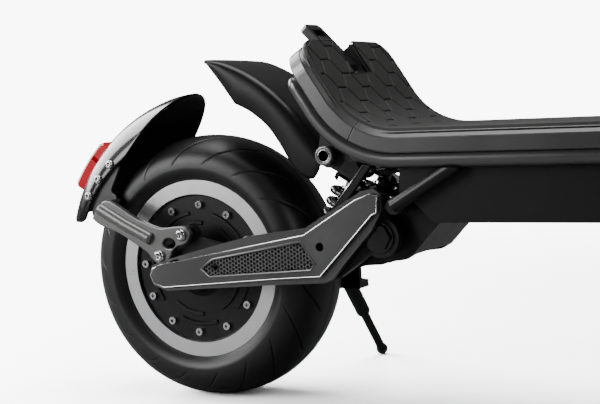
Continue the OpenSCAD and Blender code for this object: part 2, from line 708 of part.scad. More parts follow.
module crown(s) difference() {
  union() {
    both() translate([0, leg_y, s]) cylinder(r = stanchion_r + 7, h = crown_t);
    translate([0, 0, s]) cylinder(r = 30, h = crown_t);
    translate([-16, -leg_y, s + 3]) cube([32, 2 * leg_y, crown_t - 6]);
  }
  both() translate([0, leg_y, s - 1]) cylinder(r = stanchion_r, h = crown_t + 2);
}
module fork_crowns() color("black") fork() {
  difference() {
    crown(lower_crown);
    translate([0, 0, lower_crown - 1]) cylinder(r = steerer_r, h = crown_t + 2);
  }
  difference() {
    crown(upper_crown);
    translate([0, 0, upper_crown - 1]) cylinder(r = steerer_r, h = crown_t + 2);
  }
  translate([0, 0, lower_crown]) cylinder(r = steerer_r, h = upper_crown + crown_t - lower_crown);
  both() translate([0, leg_y, stanchion_low]) difference() {
    cylinder(r = stanchion_r, h = upper_crown + crown_t + 2 - stanchion_low);
    translate([0, 0, -1]) cylinder(r = stanchion_r - 3, h = upper_crown + crown_t - 8 - stanchion_low);
  }
}
module fold_base() color("dimgray") fork() difference() {
  union() {
    translate([0, 0, upper_crown + crown_t]) cylinder(r = 30, h = 14);
    translate([0, 0, upper_crown + crown_t + 14]) cylinder(r = stem_r, h = base_top - upper_crown - crown_t - 14);
    both() translate([fold_x - 10, 14, base_top - 26]) cube([22, 8, 26]);
    both() translate([fold_x, 22, fold_s]) rotate([90, 0, 0]) cylinder(r = knuckle_r, h = 8);
    both() translate([14, 11.6, base_top - 20]) cube([20, 5, 22]);
    both() translate([stem_r + 9, 16.6, base_top - 4]) rotate([90, 0, 0]) cylinder(r = 7, h = 5);
  }
  translate([fold_x, 0, fold_s]) rotate([90, 0, 0]) cylinder(r = 4, h = 100, center = true);
  translate([stem_r + 9, 0, base_top - 4]) rotate([90, 0, 0]) cylinder(r = 3, h = 60, center = true);
  translate([0, 0, upper_crown + crown_t - 1]) cylinder(r = 16, h = 80);
  translate([fold_x, 0, fold_s]) rotate([90, 0, 0]) cylinder(r = knuckle_r + 0.5, h = 28, center = true);
}
module fold_pin() fork() translate([fold_x, 0, fold_s]) rotate([90, 0, 0]) {
  cylinder(r = 4, h = 48, center = true);
  translate([0, 0, 22]) cylinder(r = 7, h = 4);
  translate([0, 0, -26]) cylinder(r = 7, h = 4);
}
module fork_legs() color("black") fork() {
  both() difference() {
    union() {
      translate([0, leg_y, leg_low]) cylinder(r = leg_r, h = leg_top - leg_low);
      translate([0, leg_y, leg_top - 8]) cylinder(r = leg_r + 2, h = 8);
      translate([0, leg_y, -18]) cylinder(r = leg_r + 2, h = 36);
    }
    translate([0, leg_y, -12]) cylinder(r = stanchion_r + 0.3, h = leg_top + 20);
    ybar([0, 0], axle_r, leg_y - 40, leg_y + 40);
  }
  // brake caliper mount and caliper on the left leg
  translate([0, 0, 0]) rotate([0, 170, 0]) caliper(leg_y - leg_r + 4);
}
module front_axle() color("silver") fork() {
  wheel_axle(leg_y + leg_r + 2);
}
module front_mudguard() color("black") {
  front() turned(front_guard_a1 - front_guard_a0, front_guard_a0)
    guard_section(front_guard_r, front_guard_half, 22, guard_t);
  fork() both() difference() {
    union() {
      translate([-8, front_guard_half - guard_t - 3, 92]) cube([16, 3, 52]);
      translate([-8, front_guard_half - guard_t - 3, 92]) cube([16, leg_y - leg_r - 46, 14]);
    }
    translate([0, leg_y, 80]) cylinder(r = leg_r, h = 40);
  }
}

// ---------- stem and handlebar ----------

module stem() color("black") fork() difference() {
  union() {
    translate([0, 0, stem_low]) cylinder(r = stem_r, h = stem_top - stem_low);
    translate([0, 0, stem_low]) cylinder(r = stem_r + 4, h = 26);
    translate([fold_x - 10, -13.6, fold_s - 1]) cube([20, 27.2, 22]);
    translate([fold_x, 0, fold_s]) rotate([90, 0, 0]) cylinder(r = knuckle_r, h = 27.2, center = true);
    // handlebar clamp
    translate([0, 0, stem_top]) cylinder(r = stem_r, h = 10);
    translate([0, 32, bar_s]) rotate([90, 0, 0]) cylinder(r = bar_r + 7, h = 64);
  }
  translate([fold_x, 0, fold_s]) rotate([90, 0, 0]) cylinder(r = 4 + fit, h = 60, center = true);
  both() translate([fold_x, 30, fold_s]) rotate([90, 0, 0]) cylinder(r = knuckle_r + 0.5, h = 30 - 13.6);
  translate([0, 40, bar_s]) rotate([90, 0, 0]) cylinder(r = bar_r, h = 80);
  translate([0, 0, stem_low - 1]) cylinder(r = stem_r - 3, h = stem_top - stem_low - 20);
  difference() {
    translate([-60, -50, base_top - 20]) cube([60 + 60, 100, stem_low - base_top + 20]);
    translate([fold_x - 10, -14, base_top - 30]) cube([20, 28, 80]);
    translate([fold_x, 0, fold_s]) rotate([90, 0, 0]) cylinder(r = knuckle_r, h = 28, center = true);
  }
}
module handlebar() color("black") fork() translate([0, 0, bar_s]) rotate([90, 0, 0]) difference() {
  cylinder(r = bar_r, h = bar_width - 10, center = true);
  cylinder(r = bar_r - 3, h = bar_width, center = true);
}
grip_len = 125;
module grips() color("black") fork() both() translate([0, bar_width / 2, bar_s]) rotate([90, 0, 0])
  difference() {
    union() {
      cylinder(r = grip_r, h = grip_len);
      cylinder(r = grip_r + 3, h = 4);
      translate([0, 0, grip_len - 4]) cylinder(r = grip_r + 3, h = 4);
      for (i = [1:9]) translate([0, 0, i * 12]) cylinder(r = grip_r + 1, h = 5);
    }
    translate([0, 0, 5]) cylinder(r = bar_r, h = grip_len);
  }
lever_y = bar_width / 2 - grip_len - 14;
lever_pivot = [30, lever_y + 4];
module lever_mounts() color("black") fork() both() {
  translate([lever_pivot[0], lever_pivot[1], bar_s - 8]) cylinder(r = 3, h = 16);
  lever_mount();
}
module lever_mount() difference() {
  union() {
    translate([0, lever_y + 12, bar_s]) rotate([90, 0, 0]) cylinder(r = bar_r + 5, h = 16);
    translate([lever_pivot[0], lever_pivot[1], bar_s + 6]) cylinder(r = 9, h = 5);
    translate([lever_pivot[0], lever_pivot[1], bar_s - 11]) cylinder(r = 9, h = 5);
    translate([12, lever_y - 4, bar_s - 11]) cube([16, 16, 22]);
    rod([24, lever_y + 2, bar_s], [20, lever_y - 34, bar_s], 9);
  }
  translate([0, lever_y + 20, bar_s]) rotate([90, 0, 0]) cylinder(r = bar_r, h = 60);
  translate([lever_pivot[0], lever_pivot[1], bar_s - 5.8]) cylinder(r = 10.5, h = 11.6);
}
module brake_lever() translate([0, 0, bar_s]) difference() {
  union() {
    translate([lever_pivot[0], lever_pivot[1], -5]) cylinder(r = 9, h = 10);
    linear_extrude(9, center = true) {
      polygon([lever_pivot + [-5, 5], lever_pivot + [5, -5], [61, lever_y + 26], [64, lever_y + 110],
        [54, lever_y + 110], [51, lever_y + 33]]);
      translate([59, lever_y + 110]) circle(r = 5);
    }
  }
  translate([lever_pivot[0], lever_pivot[1], -12]) cylinder(r = 3 + fit, h = 30);
}
module brake_lever_left() color("silver") fork() brake_lever();
module brake_lever_right() color("silver") fork() mirror([0, 1, 0]) brake_lever();
throttle_y = lever_y - 50;
module throttle_body() color("black") fork() translate([0, -throttle_y + 16, bar_s]) rotate([90, 0, 0]) difference() {
  union() {
    cylinder(r = bar_r + 6, h = 14);
    translate([-26, -16, 0]) cube([12, 32, 14]);
  }
  translate([0, 0, -1]) cylinder(r = bar_r, h = 18);
}
module throttle_paddle() color("dimgray") fork() difference() {
  union() {
    translate([0, -throttle_y + 1.6, bar_s]) rotate([90, 0, 0]) cylinder(r = bar_r + 6, h = 8);
    translate([-46, -throttle_y - 6, bar_s - 14]) cube([32, 7.6, 16]);
  }
  translate([0, 0, bar_s]) rotate([90, 0, 0]) cylinder(r = bar_r + fit, h = far * 2, center = true);
}
module display() color("black") fork() {
  difference() {
    union() {
      translate([-30, throttle_y - 22, bar_s + bar_r + 1]) cube([60, 44, 12]);
      translate([0, throttle_y + 8, bar_s]) rotate([90, 0, 0]) cylinder(r = bar_r + 4, h = 16);
    }
    translate([0, 0, bar_s]) rotate([90, 0, 0]) cylinder(r = bar_r, h = far * 2, center = true);
    translate([-26, throttle_y - 18, bar_s + bar_r + 11]) cube([52, 36, 3]);
  }
  for (i = [-1:1]) translate([i * 14, throttle_y - 22, bar_s + bar_r + 6]) rotate([90, 0, 0]) cylinder(r = 4, h = 1);
}
module fold_latch() color("silver") fork() difference() {
  union() {
    translate([stem_r + 9, 0, base_top - 4]) rotate([90, 0, 0]) cylinder(r = 6, h = 22, center = true);
    translate([stem_r + 5, -11, base_top - 4]) cube([8, 22, 70]);
    translate([stem_r + 9, 0, base_top + 66]) rotate([90, 0, 0]) cylinder(r = 5, h = 22, center = true);
  }
  translate([stem_r + 9, 0, base_top - 4]) rotate([90, 0, 0]) cylinder(r = 3 + fit, h = 40, center = true);
}
module fold_pins() color("silver") {
  fold_pin();
  latch_pin();
}
module latch_pin() fork() translate([stem_r + 9, 0, base_top - 4])
  rotate([90, 0, 0]) cylinder(r = 3, h = 32, center = true);

// ---------- draw ----------

deck_frame();
tail_cover();
edge_tubes();
deck_plate();
deck_mat();
battery_box();
battery_pack();
controller();
pivot_bracket();
frame_tubes();
shock_mount();
frame_pins();
inner_mudguard();
neck_frame();
headlight();
tail_hook();
rear_arm();
arm_covers();
honeycomb_panels();
arm_bolts();
rear_axle();
rear_stator();
mudguard_brackets();
rear_mudguard();
mudguard_screws();
tail_light();
rear_brake_caliper();
stand_bracket();
stand_spring();
kickstand();
stand_foot_part();  // stand_foot
rear_tyre();
rear_rim();
rear_hub();
rear_hub_bolts();
rear_bearings();
rear_brake_disc();
shock_bodies();
shock_springs();
shock_rods();
fork_crowns();
fold_base();
fold_pins();
fork_legs();
front_axle();
front_mudguard();
front_tyre();
front_rim();
front_hub();
front_brake_disc();
stem();
handlebar();
grips();
lever_mounts();
brake_lever_left();
brake_lever_right();
throttle_body();
throttle_paddle();
display();
fold_latch();
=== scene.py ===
# %% [markdown]
# # Electric kick scooter
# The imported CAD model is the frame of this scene: every tube, plate and bolt is already in
# its place, in metres. This script gives each of them a finish, and builds afresh the pieces
# whose look lives in their surface: the rubber mat, the tyres, the mudguards and the springs.

# %% Load the frame
import math

import bmesh
import bpy
from mathutils import Matrix, Vector


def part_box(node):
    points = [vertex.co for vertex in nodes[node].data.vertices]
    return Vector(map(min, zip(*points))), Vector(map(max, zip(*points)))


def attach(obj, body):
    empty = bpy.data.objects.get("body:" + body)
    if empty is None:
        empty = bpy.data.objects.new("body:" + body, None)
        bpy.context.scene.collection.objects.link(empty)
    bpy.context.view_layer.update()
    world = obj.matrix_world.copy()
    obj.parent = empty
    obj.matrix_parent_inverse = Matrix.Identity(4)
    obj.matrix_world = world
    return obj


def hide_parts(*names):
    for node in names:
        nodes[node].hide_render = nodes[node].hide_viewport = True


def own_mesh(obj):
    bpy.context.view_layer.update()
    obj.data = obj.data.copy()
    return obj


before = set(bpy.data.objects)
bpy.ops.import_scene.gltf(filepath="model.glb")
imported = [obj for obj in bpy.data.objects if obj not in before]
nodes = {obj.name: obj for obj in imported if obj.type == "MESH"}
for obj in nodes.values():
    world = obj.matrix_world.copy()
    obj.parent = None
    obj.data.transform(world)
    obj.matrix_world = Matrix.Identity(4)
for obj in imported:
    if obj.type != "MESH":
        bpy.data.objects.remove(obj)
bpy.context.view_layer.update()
MM = 0.001

low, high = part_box("rear_tyre")
rear_axle = (Vector(low) + Vector(high)) / 2
tyre_r = (high[2] - low[2]) / 2
tyre_half = (high[1] - low[1]) / 2
low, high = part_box("front_tyre")
front_axle = (Vector(low) + Vector(high)) / 2
low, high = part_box("deck_mat")
deck_front = high[0] - rear_axle.x
mat_half = (high[1] - low[1]) / 2
print("rear axle", rear_axle, "tyre radius", round(tyre_r, 4))

# %% [markdown]
# The camera stands to the right of the scooter, a little behind the bars and just above the
# deck, and looks back at the rear wheel. A long lens keeps the wheel round. Its three axes
# come from a bearing, a small downward tilt and a slight roll.

# %% Camera
bearing, tilt, roll = math.radians(28.6), math.radians(4.35), math.radians(-2.71)
lens_mm, sensor_mm = 80.64, 36
stand = Vector((0.77326, -1.22724, 0.31288))  # from the floor below the rear axle
back = Vector((math.sin(bearing) * math.cos(tilt), -math.cos(bearing) * math.cos(tilt),
               math.sin(tilt)))
right = (-back).cross(Vector((0, 0, 1))).normalized()
upward = right.cross(-back)
cam_x = right * math.cos(roll) + upward * math.sin(roll)
cam_y = upward * math.cos(roll) - right * math.sin(roll)
place = Vector((rear_axle.x, 0, 0)) + stand
camera_data = bpy.data.cameras.new("camera")
camera_data.sensor_width = sensor_mm
camera_data.lens = lens_mm
camera = bpy.data.objects.new("camera", camera_data)
bpy.context.scene.collection.objects.link(camera)
camera.matrix_world = Matrix((
    (cam_x.x, cam_y.x, back.x, place.x),
    (cam_x.y, cam_y.y, back.y, place.y),
    (cam_x.z, cam_y.z, back.z, place.z),
    (0, 0, 0, 1)))
bpy.context.scene.camera = camera
print("camera at", [round(v, 3) for v in place])

# %% [markdown]
# ## Finishes
# Nearly everything here is black, so the finishes differ in how they shine: gloss paint,
# satin powder coat, sanded metal and rubber. Each is a Principled shader with three small
# textures: a slow one that varies the colour, one that varies the roughness, and a fine
# bump. A brushed metal stretches its bump along one direction.
# A shader is a small graph of nodes, so two helpers come first: one adds a node and sets
# its inputs, the other links nodes by name.

# %% Nodes and links in one line
def add_node(tree, kind, values=None, operation=None):
    """Adds a shader node; values gives its inputs, by name or by number."""
    node = tree.nodes.new("ShaderNode" + kind)
    if operation:
        node.operation = operation
    for socket, value in (values or {}).items():
        node.inputs[socket].default_value = value
    return node


def join(tree, *rows):
    """Each row is a node, its output, the next node and its input."""
    for source, output, target, socket in rows:
        tree.links.new(source.outputs[output], target.inputs[socket])


print("node helpers ready")

# %% [markdown]
# The slow noise has patches of a few centimetres and the fine one is the grain of the
# coat. Both together vary the roughness, since a real coat is never equally smooth. The
# mesh's pointed edges are mixed towards a paler grey.

# %% A finish from a few numbers
coat_rough, patch_scale, bump_depth = 0.04, 14, 0.0002
pale_edge_grey = (0.5, 0.5, 0.5, 1)


def finish(name, colour, rough, metal=0.0, grain=900, bump=0.05, vary=0.12, coat=0.0,
           stretch=(1, 1, 1), spread=0.08, specular=0.5, edge_pale=0.0):
    m = bpy.data.materials.new(name)
    m.use_nodes = True
    t = m.node_tree
    shader = t.nodes["Principled BSDF"]
    for socket, value in (("Metallic", metal), ("Specular IOR Level", specular),
                          ("Coat Weight", coat), ("Coat Roughness", coat_rough)):
        shader.inputs[socket].default_value = value
    where = add_node(t, "TexCoord")
    turn = add_node(t, "Mapping", {"Scale": stretch})
    slow = add_node(t, "TexNoise", {"Scale": patch_scale, "Detail": 5})
    fine = add_node(t, "TexNoise", {"Scale": grain, "Detail": 3})
    tone = add_node(t, "MapRange", {"To Min": 1 - vary, "To Max": 1 + vary})
    shade = add_node(t, "MixRGB", {"Fac": 1, "Color1": (*colour, 1)})
    shade.blend_type = "MULTIPLY"
    half = add_node(t, "Math", {1: 0.5}, "MULTIPLY")
    both = add_node(t, "Math", {1: 0.5}, "MULTIPLY_ADD")
    rub = add_node(t, "MapRange", {"To Min": max(0.02, rough - spread), "To Max": rough + spread})
    relief = add_node(t, "Bump", {"Strength": bump, "Distance": bump_depth})
    join(t, (where, "Object", turn, "Vector"), (where, "Object", slow, "Vector"),
         (turn, "Vector", fine, "Vector"), (slow, "Fac", tone, "Value"),
         (tone, "Result", shade, "Color2"), (shade, "Color", shader, "Base Color"),
         (slow, "Fac", half, 0), (fine, "Fac", both, 0), (half, "Value", both, 2),
         (both, "Value", rub, "Value"), (rub, "Result", shader, "Roughness"),
         (fine, "Fac", relief, "Height"), (relief, "Normal", shader, "Normal"))
    # pointed edges, found by pointiness, are mixed towards a paler grey
    if edge_pale:
        edge = add_node(t, "NewGeometry")
        pick = add_node(t, "MapRange", {"From Min": 0.52, "From Max": 0.62})
        scale = add_node(t, "Math", {1: edge_pale}, "MULTIPLY")
        paled = add_node(t, "MixRGB", {"Color2": pale_edge_grey})
        join(t, (edge, "Pointiness", pick, "Value"), (pick, "Result", scale, 0),
             (scale, "Value", paled, "Fac"), (shade, "Color", paled, "Color1"),
             (paled, "Color", shader, "Base Color"))
    return m


print("finish takes a colour, a roughness and how it shines")

# %% [markdown]
# The blacks differ mostly in roughness: about 0.2 for the lacquered mudguard, 0.34 for the
# powder coat on steel and 0.6 for moulded plastic. Rubber is duller still. The greys are
# partly metal, as a sanded and tinted part is, and the bright ones are bare metal. The
# tail light glows a little, so that its red holds against the white strip.

# %% The finishes of this scooter
gloss_black = finish("gloss black", (0.004, 0.004, 0.0045), 0.2, grain=300, bump=0.01,
                     spread=0.04, coat=0.5)
satin_black = finish("satin black coat", (0.006, 0.006, 0.006), 0.34, grain=1600, bump=0.1,
                     edge_pale=0.02, specular=0.35)
matte_black = finish("matte black", (0.004, 0.004, 0.004), 0.6, grain=1400, bump=0.2, specular=0.2)
graphite = finish("graphite satin", (0.11, 0.11, 0.11), 0.3, metal=0.8, grain=1500, bump=0.12, edge_pale=0.1)
band_grey = finish("band graphite", (0.16, 0.16, 0.16), 0.3, metal=0.8, grain=1500, bump=0.08,
                   edge_pale=0.05)
# also used as a painted highlight along the strut's upper edge
bright_edge = finish("bright cut edge and painted highlight", (0.72, 0.72, 0.73), 0.22, metal=1, grain=700, bump=0.03)
bracket_grey = finish("grey satin coat", (0.19, 0.19, 0.188), 0.36, metal=0.75, grain=1500,
                      bump=0.1, edge_pale=0.1)
turned_metal = finish("turned metal", (0.80, 0.80, 0.81), 0.3, metal=1, grain=260, bump=0.08,
                      stretch=(1, 14, 1))
bolt_steel = finish("bolt steel", (0.62, 0.62, 0.63), 0.2, metal=1, grain=800, bump=0.04)
dark_nut = finish("dark plated nut", (0.07, 0.07, 0.072), 0.14, metal=1, grain=700, bump=0.04)
chrome = finish("polished tube", (0.75, 0.75, 0.76), 0.06, metal=1, grain=500, bump=0.01, spread=0.03)
tyre_rubber = finish("tyre rubber", (0.007, 0.007, 0.007), 0.42, grain=700, bump=0.2, vary=0.25,
                     spread=0.1, specular=0.6)
mat_rubber = finish("mat rubber", (0.026, 0.026, 0.025), 0.58, grain=1100, bump=0.3, vary=0.18)
# painted shade: the groove floor is the mat's own rubber, coloured far darker than the tiles
groove_floor_shade = finish("groove floor painted shade", (0.004, 0.004, 0.004), 0.8, grain=900, bump=0.2)
grip_rubber = finish("grip rubber", (0.015, 0.015, 0.015), 0.7, grain=1200, bump=0.3)
copper = finish("winding", (0.55, 0.24, 0.1), 0.35, metal=1, grain=400, bump=0.3, stretch=(1, 8, 1))
cell_wrap = finish("battery wrap", (0.03, 0.08, 0.2), 0.4, grain=300, bump=0.1)
red_lens = finish("red lens", (0.5, 0.006, 0.012), 0.2, grain=300, bump=0.04, coat=0.6)
red_shader = red_lens.node_tree.nodes["Principled BSDF"]
red_shader.inputs["Emission Color"].default_value = (0.8, 0.01, 0.03, 1)
red_shader.inputs["Emission Strength"].default_value = 0.25
lamp_glass = finish("lamp glass", (0.8, 0.8, 0.82), 0.12, grain=200, bump=0.05, coat=1)
white_strip = finish("white strip", (0.85, 0.85, 0.85), 0.3, grain=300, bump=0.03)
print(len(bpy.data.materials), "finishes")

# %% [markdown]
# ## The room
# Black gloss shows only what it reflects. Here the scooter stands in a dark room, and what
# it mirrors is almost nothing on the side that we stand on and a weak grey behind it, so
# the faces turned to us stay black. The camera alone sees a white backdrop: the Light Path
# node tells a ray that comes straight from the camera from one that has bounced. A real
# backdrop does the same when it is lit apart from the object.

# %% A dark room with a white backdrop
toward_us = Vector((0.62, -0.72, 0.05)).normalized()
room_behind, room_before, backdrop = 0.14, 0.012, 9.0
world = bpy.data.worlds.new("room")
bpy.context.scene.world = world
world.use_nodes = True
wt = world.node_tree
glow = wt.nodes["Background"]
glow.inputs["Color"].default_value = (1, 1, 1, 1)
look = add_node(wt, "TexCoord")
side = add_node(wt, "VectorMath", {1: toward_us}, "DOT_PRODUCT")
ramp = add_node(wt, "MapRange", {"From Min": -0.6, "From Max": 0.4,
                                 "To Min": room_behind, "To Max": room_before})
seen_by = add_node(wt, "LightPath")
bright = add_node(wt, "Mix", {"B": backdrop})
join(wt, (look, "Generated", side, 0), (side, "Value", ramp, "Value"),
     (seen_by, "Is Camera Ray", bright, "Factor"), (ramp, "Result", bright, "A"),
     (bright, "Result", glow, "Strength"))
print("room", room_before, "to", room_behind, "backdrop", backdrop)

# %% [markdown]
# ## Soft lamps
# Soft boxes in a studio are large, so their reflections in a rounded edge are broad
# and calm. Four of them do it here: one above, one at each rear side, and a narrow strip
# that draws a line along the right of every tube. Each is placed from the rear axle.

# %% Four area lamps
def lamp(name, spot, aim, size, power):
    data = bpy.data.lights.new(name, "AREA")
    data.shape = "RECTANGLE"
    data.size, data.size_y = size
    data.energy = power
    o = bpy.data.objects.new(name, data)
    bpy.context.scene.collection.objects.link(o)
    o.location = rear_axle + Vector(spot)
    o.rotation_mode = "QUATERNION"
    o.rotation_quaternion = (Vector(aim) - Vector(spot)).to_track_quat("-Z", "Y")


lamp("top box", (0.1, 0.2, 2.0), (0.1, 0, 0), (1.8, 1.4), 40)
lamp("left box", (-1.25, -1.5, 0.75), (0.1, 0, 0.1), (1.1, 1.1), 30)
lamp("rear box", (-2.0, 0.35, 1.05), (-0.1, 0, 0.12), (2.0, 1.3), 72)
lamp("right strip", (1.9, -1.2, 1.1), (0.3, 0, 0), (0.3, 1.4), 8)
print(len(bpy.data.lights), "lamps")

# %% [markdown]
# ## Pale floor
# The floor is a plain sheet. To every bounced ray it is a dull grey, so that the underside
# of the scooter isn't lit up by it. To the camera it is a bright matt white that still
# catches the lamps' shadows, and it fades into the backdrop further out, so no horizon
# shows.

# %% A floor that fades into the backdrop
floor_half, fade_from, fade_to = 9, 0.8, 2.0
floor_mesh = bpy.data.meshes.new("floor")
floor_mesh.from_pydata([(x * floor_half, y * floor_half, 0)
                        for x, y in ((-1, -1), (1, -1), (1, 1), (-1, 1))], [], [(0, 1, 2, 3)])
floor = bpy.data.objects.new("floor", floor_mesh)
bpy.context.scene.collection.objects.link(floor)
pale = finish("pale floor", (0.16, 0.16, 0.16), 0.7, grain=40, bump=0.0, vary=0.01)
pt = pale.node_tree
eye = add_node(pt, "LightPath")
near_white = add_node(pt, "BsdfDiffuse", {"Color": (4.5, 4.5, 4.5, 1)})
far_white = add_node(pt, "Emission", {"Strength": backdrop})
spot = add_node(pt, "TexCoord")
away = add_node(pt, "VectorMath", operation="LENGTH")
fade = add_node(pt, "MapRange", {"From Min": fade_from, "From Max": fade_to})
sweep, either = add_node(pt, "MixShader"), add_node(pt, "MixShader")
join(pt, (spot, "Object", away, 0), (away, "Value", fade, "Value"), (fade, "Result", sweep, "Fac"),
     (near_white, "BSDF", sweep, 1), (far_white, "Emission", sweep, 2),
     (eye, "Is Camera Ray", either, "Fac"), (pt.nodes["Principled BSDF"], "BSDF", either, 1),
     (sweep, "Shader", either, 2), (either, "Shader", pt.nodes["Material Output"], "Surface"))
floor_mesh.materials.append(pale)
print("floor", 2 * floor_half, "m across")

# %% [markdown]
# ## Dress the CAD nodes
# A machined or moulded part never has a razor edge, and it is the small rounded edge that
# catches light. Each CAD node gets a finish, and most of them a bevel modifier. The arm
# covers' bevels take a second, bright material, since their edges are cut after the
# coating.

# %% One call per node
def bevel_edges(o, width, segments, angle):
    """Rounds each edge that is sharper than the angle; the width is in millimetres."""
    b = o.modifiers.new("edge", "BEVEL")
    b.width = width * MM
    b.segments = segments
    b.limit_method = "ANGLE"
    b.angle_limit = math.radians(angle)
    return b


def dress(node, material, bevel=0.0, edge=None, segments=2):
    o = nodes[node]
    o.data.materials.clear()
    o.data.materials.append(material)
    if edge:
        o.data.materials.append(edge)
    if bevel:
        b = bevel_edges(o, bevel, segments, 35)
        if edge:
            b.material = 1


coats = (
    (band_grey, {"deck_frame": 1.2, "tail_cover": 1.2}),
    (satin_black, {"deck_plate": 0.5, "battery_box": 2.0, "pivot_bracket": 1.0,
                   "frame_tubes": 0.4, "shock_mount": 0.6, "neck_frame": 1.5, "tail_hook": 0.8,
                   "rear_arm": 1.2, "stand_bracket": 0.6, "rear_hub": 0.6, "fork_crowns": 1.0,
                   "fork_legs": 1.0, "front_hub": 0.6, "stem": 1.0, "handlebar": 0.5,
                   "lever_mounts": 0.6}),
    (cell_wrap, {"battery_pack": 1.0}),
    (turned_metal, {"controller": 0.4, "rear_rim": 0.6, "front_rim": 0.6}),
    (chrome, {"frame_pins": 0.8, "shock_bodies": 0.5, "shock_rods": 0.4}),
    (lamp_glass, {"headlight": 0.6}),
    (dark_nut, {"arm_bolts": 0.8}),
    (bolt_steel, {"rear_axle": 0.5, "mudguard_screws": 0.3, "rear_hub_bolts": 0.35,
                  "rear_bearings": 0.3, "rear_brake_disc": 0.2, "fold_pins": 0.4,
                  "front_axle": 0.5, "front_brake_disc": 0.2}),
    (copper, {"rear_stator": 0.3}),
    (bracket_grey, {"mudguard_brackets": 0.8}),
    (graphite, {"rear_brake_caliper": 1.0, "fold_base": 1.0, "brake_lever_left": 0,
                "brake_lever_right": 0, "fold_latch": 0.8}),
    (matte_black, {"stand_spring": 0.4, "kickstand": 0.5, "throttle_body": 0.8,
                   "throttle_paddle": 0.8, "display": 0.8}),
    (gloss_black, {"stand_foot": 0}),
    (grip_rubber, {"grips": 0.8}))
for material, bevels in coats:
    for node, bevel in bevels.items():
        dress(node, material, bevel)
dress("arm_covers", graphite, 1.4, edge=bright_edge, segments=1)
dress("honeycomb_panels", bracket_grey, 0.15)
dress("tail_light", red_lens, 0.8)
dress("front_mudguard", gloss_black, 0.6)
print("dressed", len(nodes), "nodes")

# %% [markdown]
# ## Building surfaces
# Curved shells are lofts: a row of cross-sections with the same number of points, joined
# into quads. A loft keeps its quads tidy, so it shades well and can be thickened after.

# %% Loft and object helpers
def add_object(name, mesh, body, material, smooth=True):
    o = bpy.data.objects.new(name, mesh)
    bpy.context.scene.collection.objects.link(o)
    for m in (material if isinstance(material, (list, tuple)) else [material]):
        mesh.materials.append(m)
    for p in mesh.polygons:
        p.use_smooth = smooth
    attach(o, body)
    return o


def to_mesh(b, name):
    """Keeps an edited mesh under a name and clears the workbench."""
    mesh = bpy.data.meshes.new(name)
    b.to_mesh(mesh)
    b.free()
    return mesh


def from_faces(name, verts, faces):
    """A mesh from points and faces, all faces turned the same way round."""
    mesh = bpy.data.meshes.new(name)
    mesh.from_pydata([tuple(v) for v in verts], [], faces)
    b = bmesh.new()
    b.from_mesh(mesh)
    bmesh.ops.recalc_face_normals(b, faces=b.faces[:])
    b.to_mesh(mesh)
    b.free()
    return mesh


def loft(rings, closed=False, caps=False):
    count = len(rings[0])
    faces = []
    for i in range(len(rings) - 1):
        for j in range(count if closed else count - 1):
            k = (j + 1) % count
            faces.append((i * count + j, (i + 1) * count + j, (i + 1) * count + k, i * count + k))
    if caps:
        faces.append(tuple(range(count)))
        faces.append(tuple((len(rings) - 1) * count + j for j in reversed(range(count))))
    return from_faces("loft", [p for ring in rings for p in ring], faces)


print("loft helpers ready")

# %% [markdown]
# A curved line needs few points when a smooth curve is drawn through them. A tube carries
# a ring along such a line, turning it as little as it can, so the ring never twists. A
# shell gets its wall from the Solidify modifier, inwards from the surface that was drawn.

# %% Smooth lines, tubes and walls
def smooth_line(points, steps):
    """A Catmull-Rom curve through the points."""
    pts = [Vector(p) for p in points]
    pts = [pts[0] * 2 - pts[1], *pts, pts[-1] * 2 - pts[-2]]
    out = []
    for i in range(1, len(pts) - 2):
        a, b, c, d = pts[i - 1:i + 3]
        for k in range(steps):
            t = k / steps
            out.append(0.5 * ((2 * b) + (c - a) * t + (2 * a - 5 * b + 4 * c - d) * t * t
                              + (3 * b - a - 3 * c + d) * t ** 3))
    return out + [pts[-2]]

def thicken(o, wall):
    """Gives a shell a wall in millimetres; its inside takes the second finish."""
    s = o.modifiers.new("thickness", "SOLIDIFY")
    s.thickness = wall * MM
    s.offset = -1
    s.use_even_offset = True
    s.material_offset = 1
    s.material_offset_rim = 0


def tube(name, line, radius, body, material, sides):
    rings = []
    across = None
    for i, p in enumerate(line):
        way = (line[min(i + 1, len(line) - 1)] - line[max(i - 1, 0)]).normalized()
        if across is None:
            across = way.orthogonal().normalized()
        across = (across - way * across.dot(way)).normalized()
        other = way.cross(across)
        rings.append([p + (across * math.cos(a) + other * math.sin(a)) * radius
                      for a in (2 * math.pi * k / sides for k in range(sides))])
    return add_object(name, loft(rings, closed=True, caps=True), body, material)


def beside_axle(x, y, z):
    """A point given in millimetres from the rear axle."""
    return rear_axle + Vector((x, y, z)) * MM


print("line, tube and wall helpers ready")

# %% [markdown]
# ## The deck's bend
# The deck runs level, bends up through a short arc and ends in a straight tail. Everything
# on it is drawn flat first, as distance along the deck and across it, then carried onto
# this line. The same few numbers as in the CAD give the line.

# %% The line of the standing surface
mat_thick, bend_r, cad_bend_r = 0.004, 0.075, 0.030
tail_turn = math.radians(57)
bend_start, tail_straight = 0.236, 0.088
deck_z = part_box("deck_mat")[0][2] + mat_thick
grow = (bend_r - cad_bend_r) * math.tan(tail_turn / 2)
bend_x = rear_axle.x + bend_start + grow
flat_end = rear_axle.x + deck_front
arc_long = bend_r * tail_turn
flat_long = flat_end - bend_x
tail_long = tail_straight - grow
full_long = flat_long + arc_long + tail_long


def on_deck(s, y, h):
    """s runs from the deck's front to the end of the tail; h is the height above the mat."""
    if s < flat_long:
        return Vector((flat_end - s, y, deck_z + h))
    s -= flat_long
    a = min(s / bend_r, tail_turn)
    past = max(0.0, s - arc_long)
    return Vector((bend_x - (bend_r - h) * math.sin(a) - past * math.cos(a), y,
                   deck_z + bend_r - (bend_r - h) * math.cos(a) + past * math.sin(a)))


print("deck line", round(full_long, 4), "m")

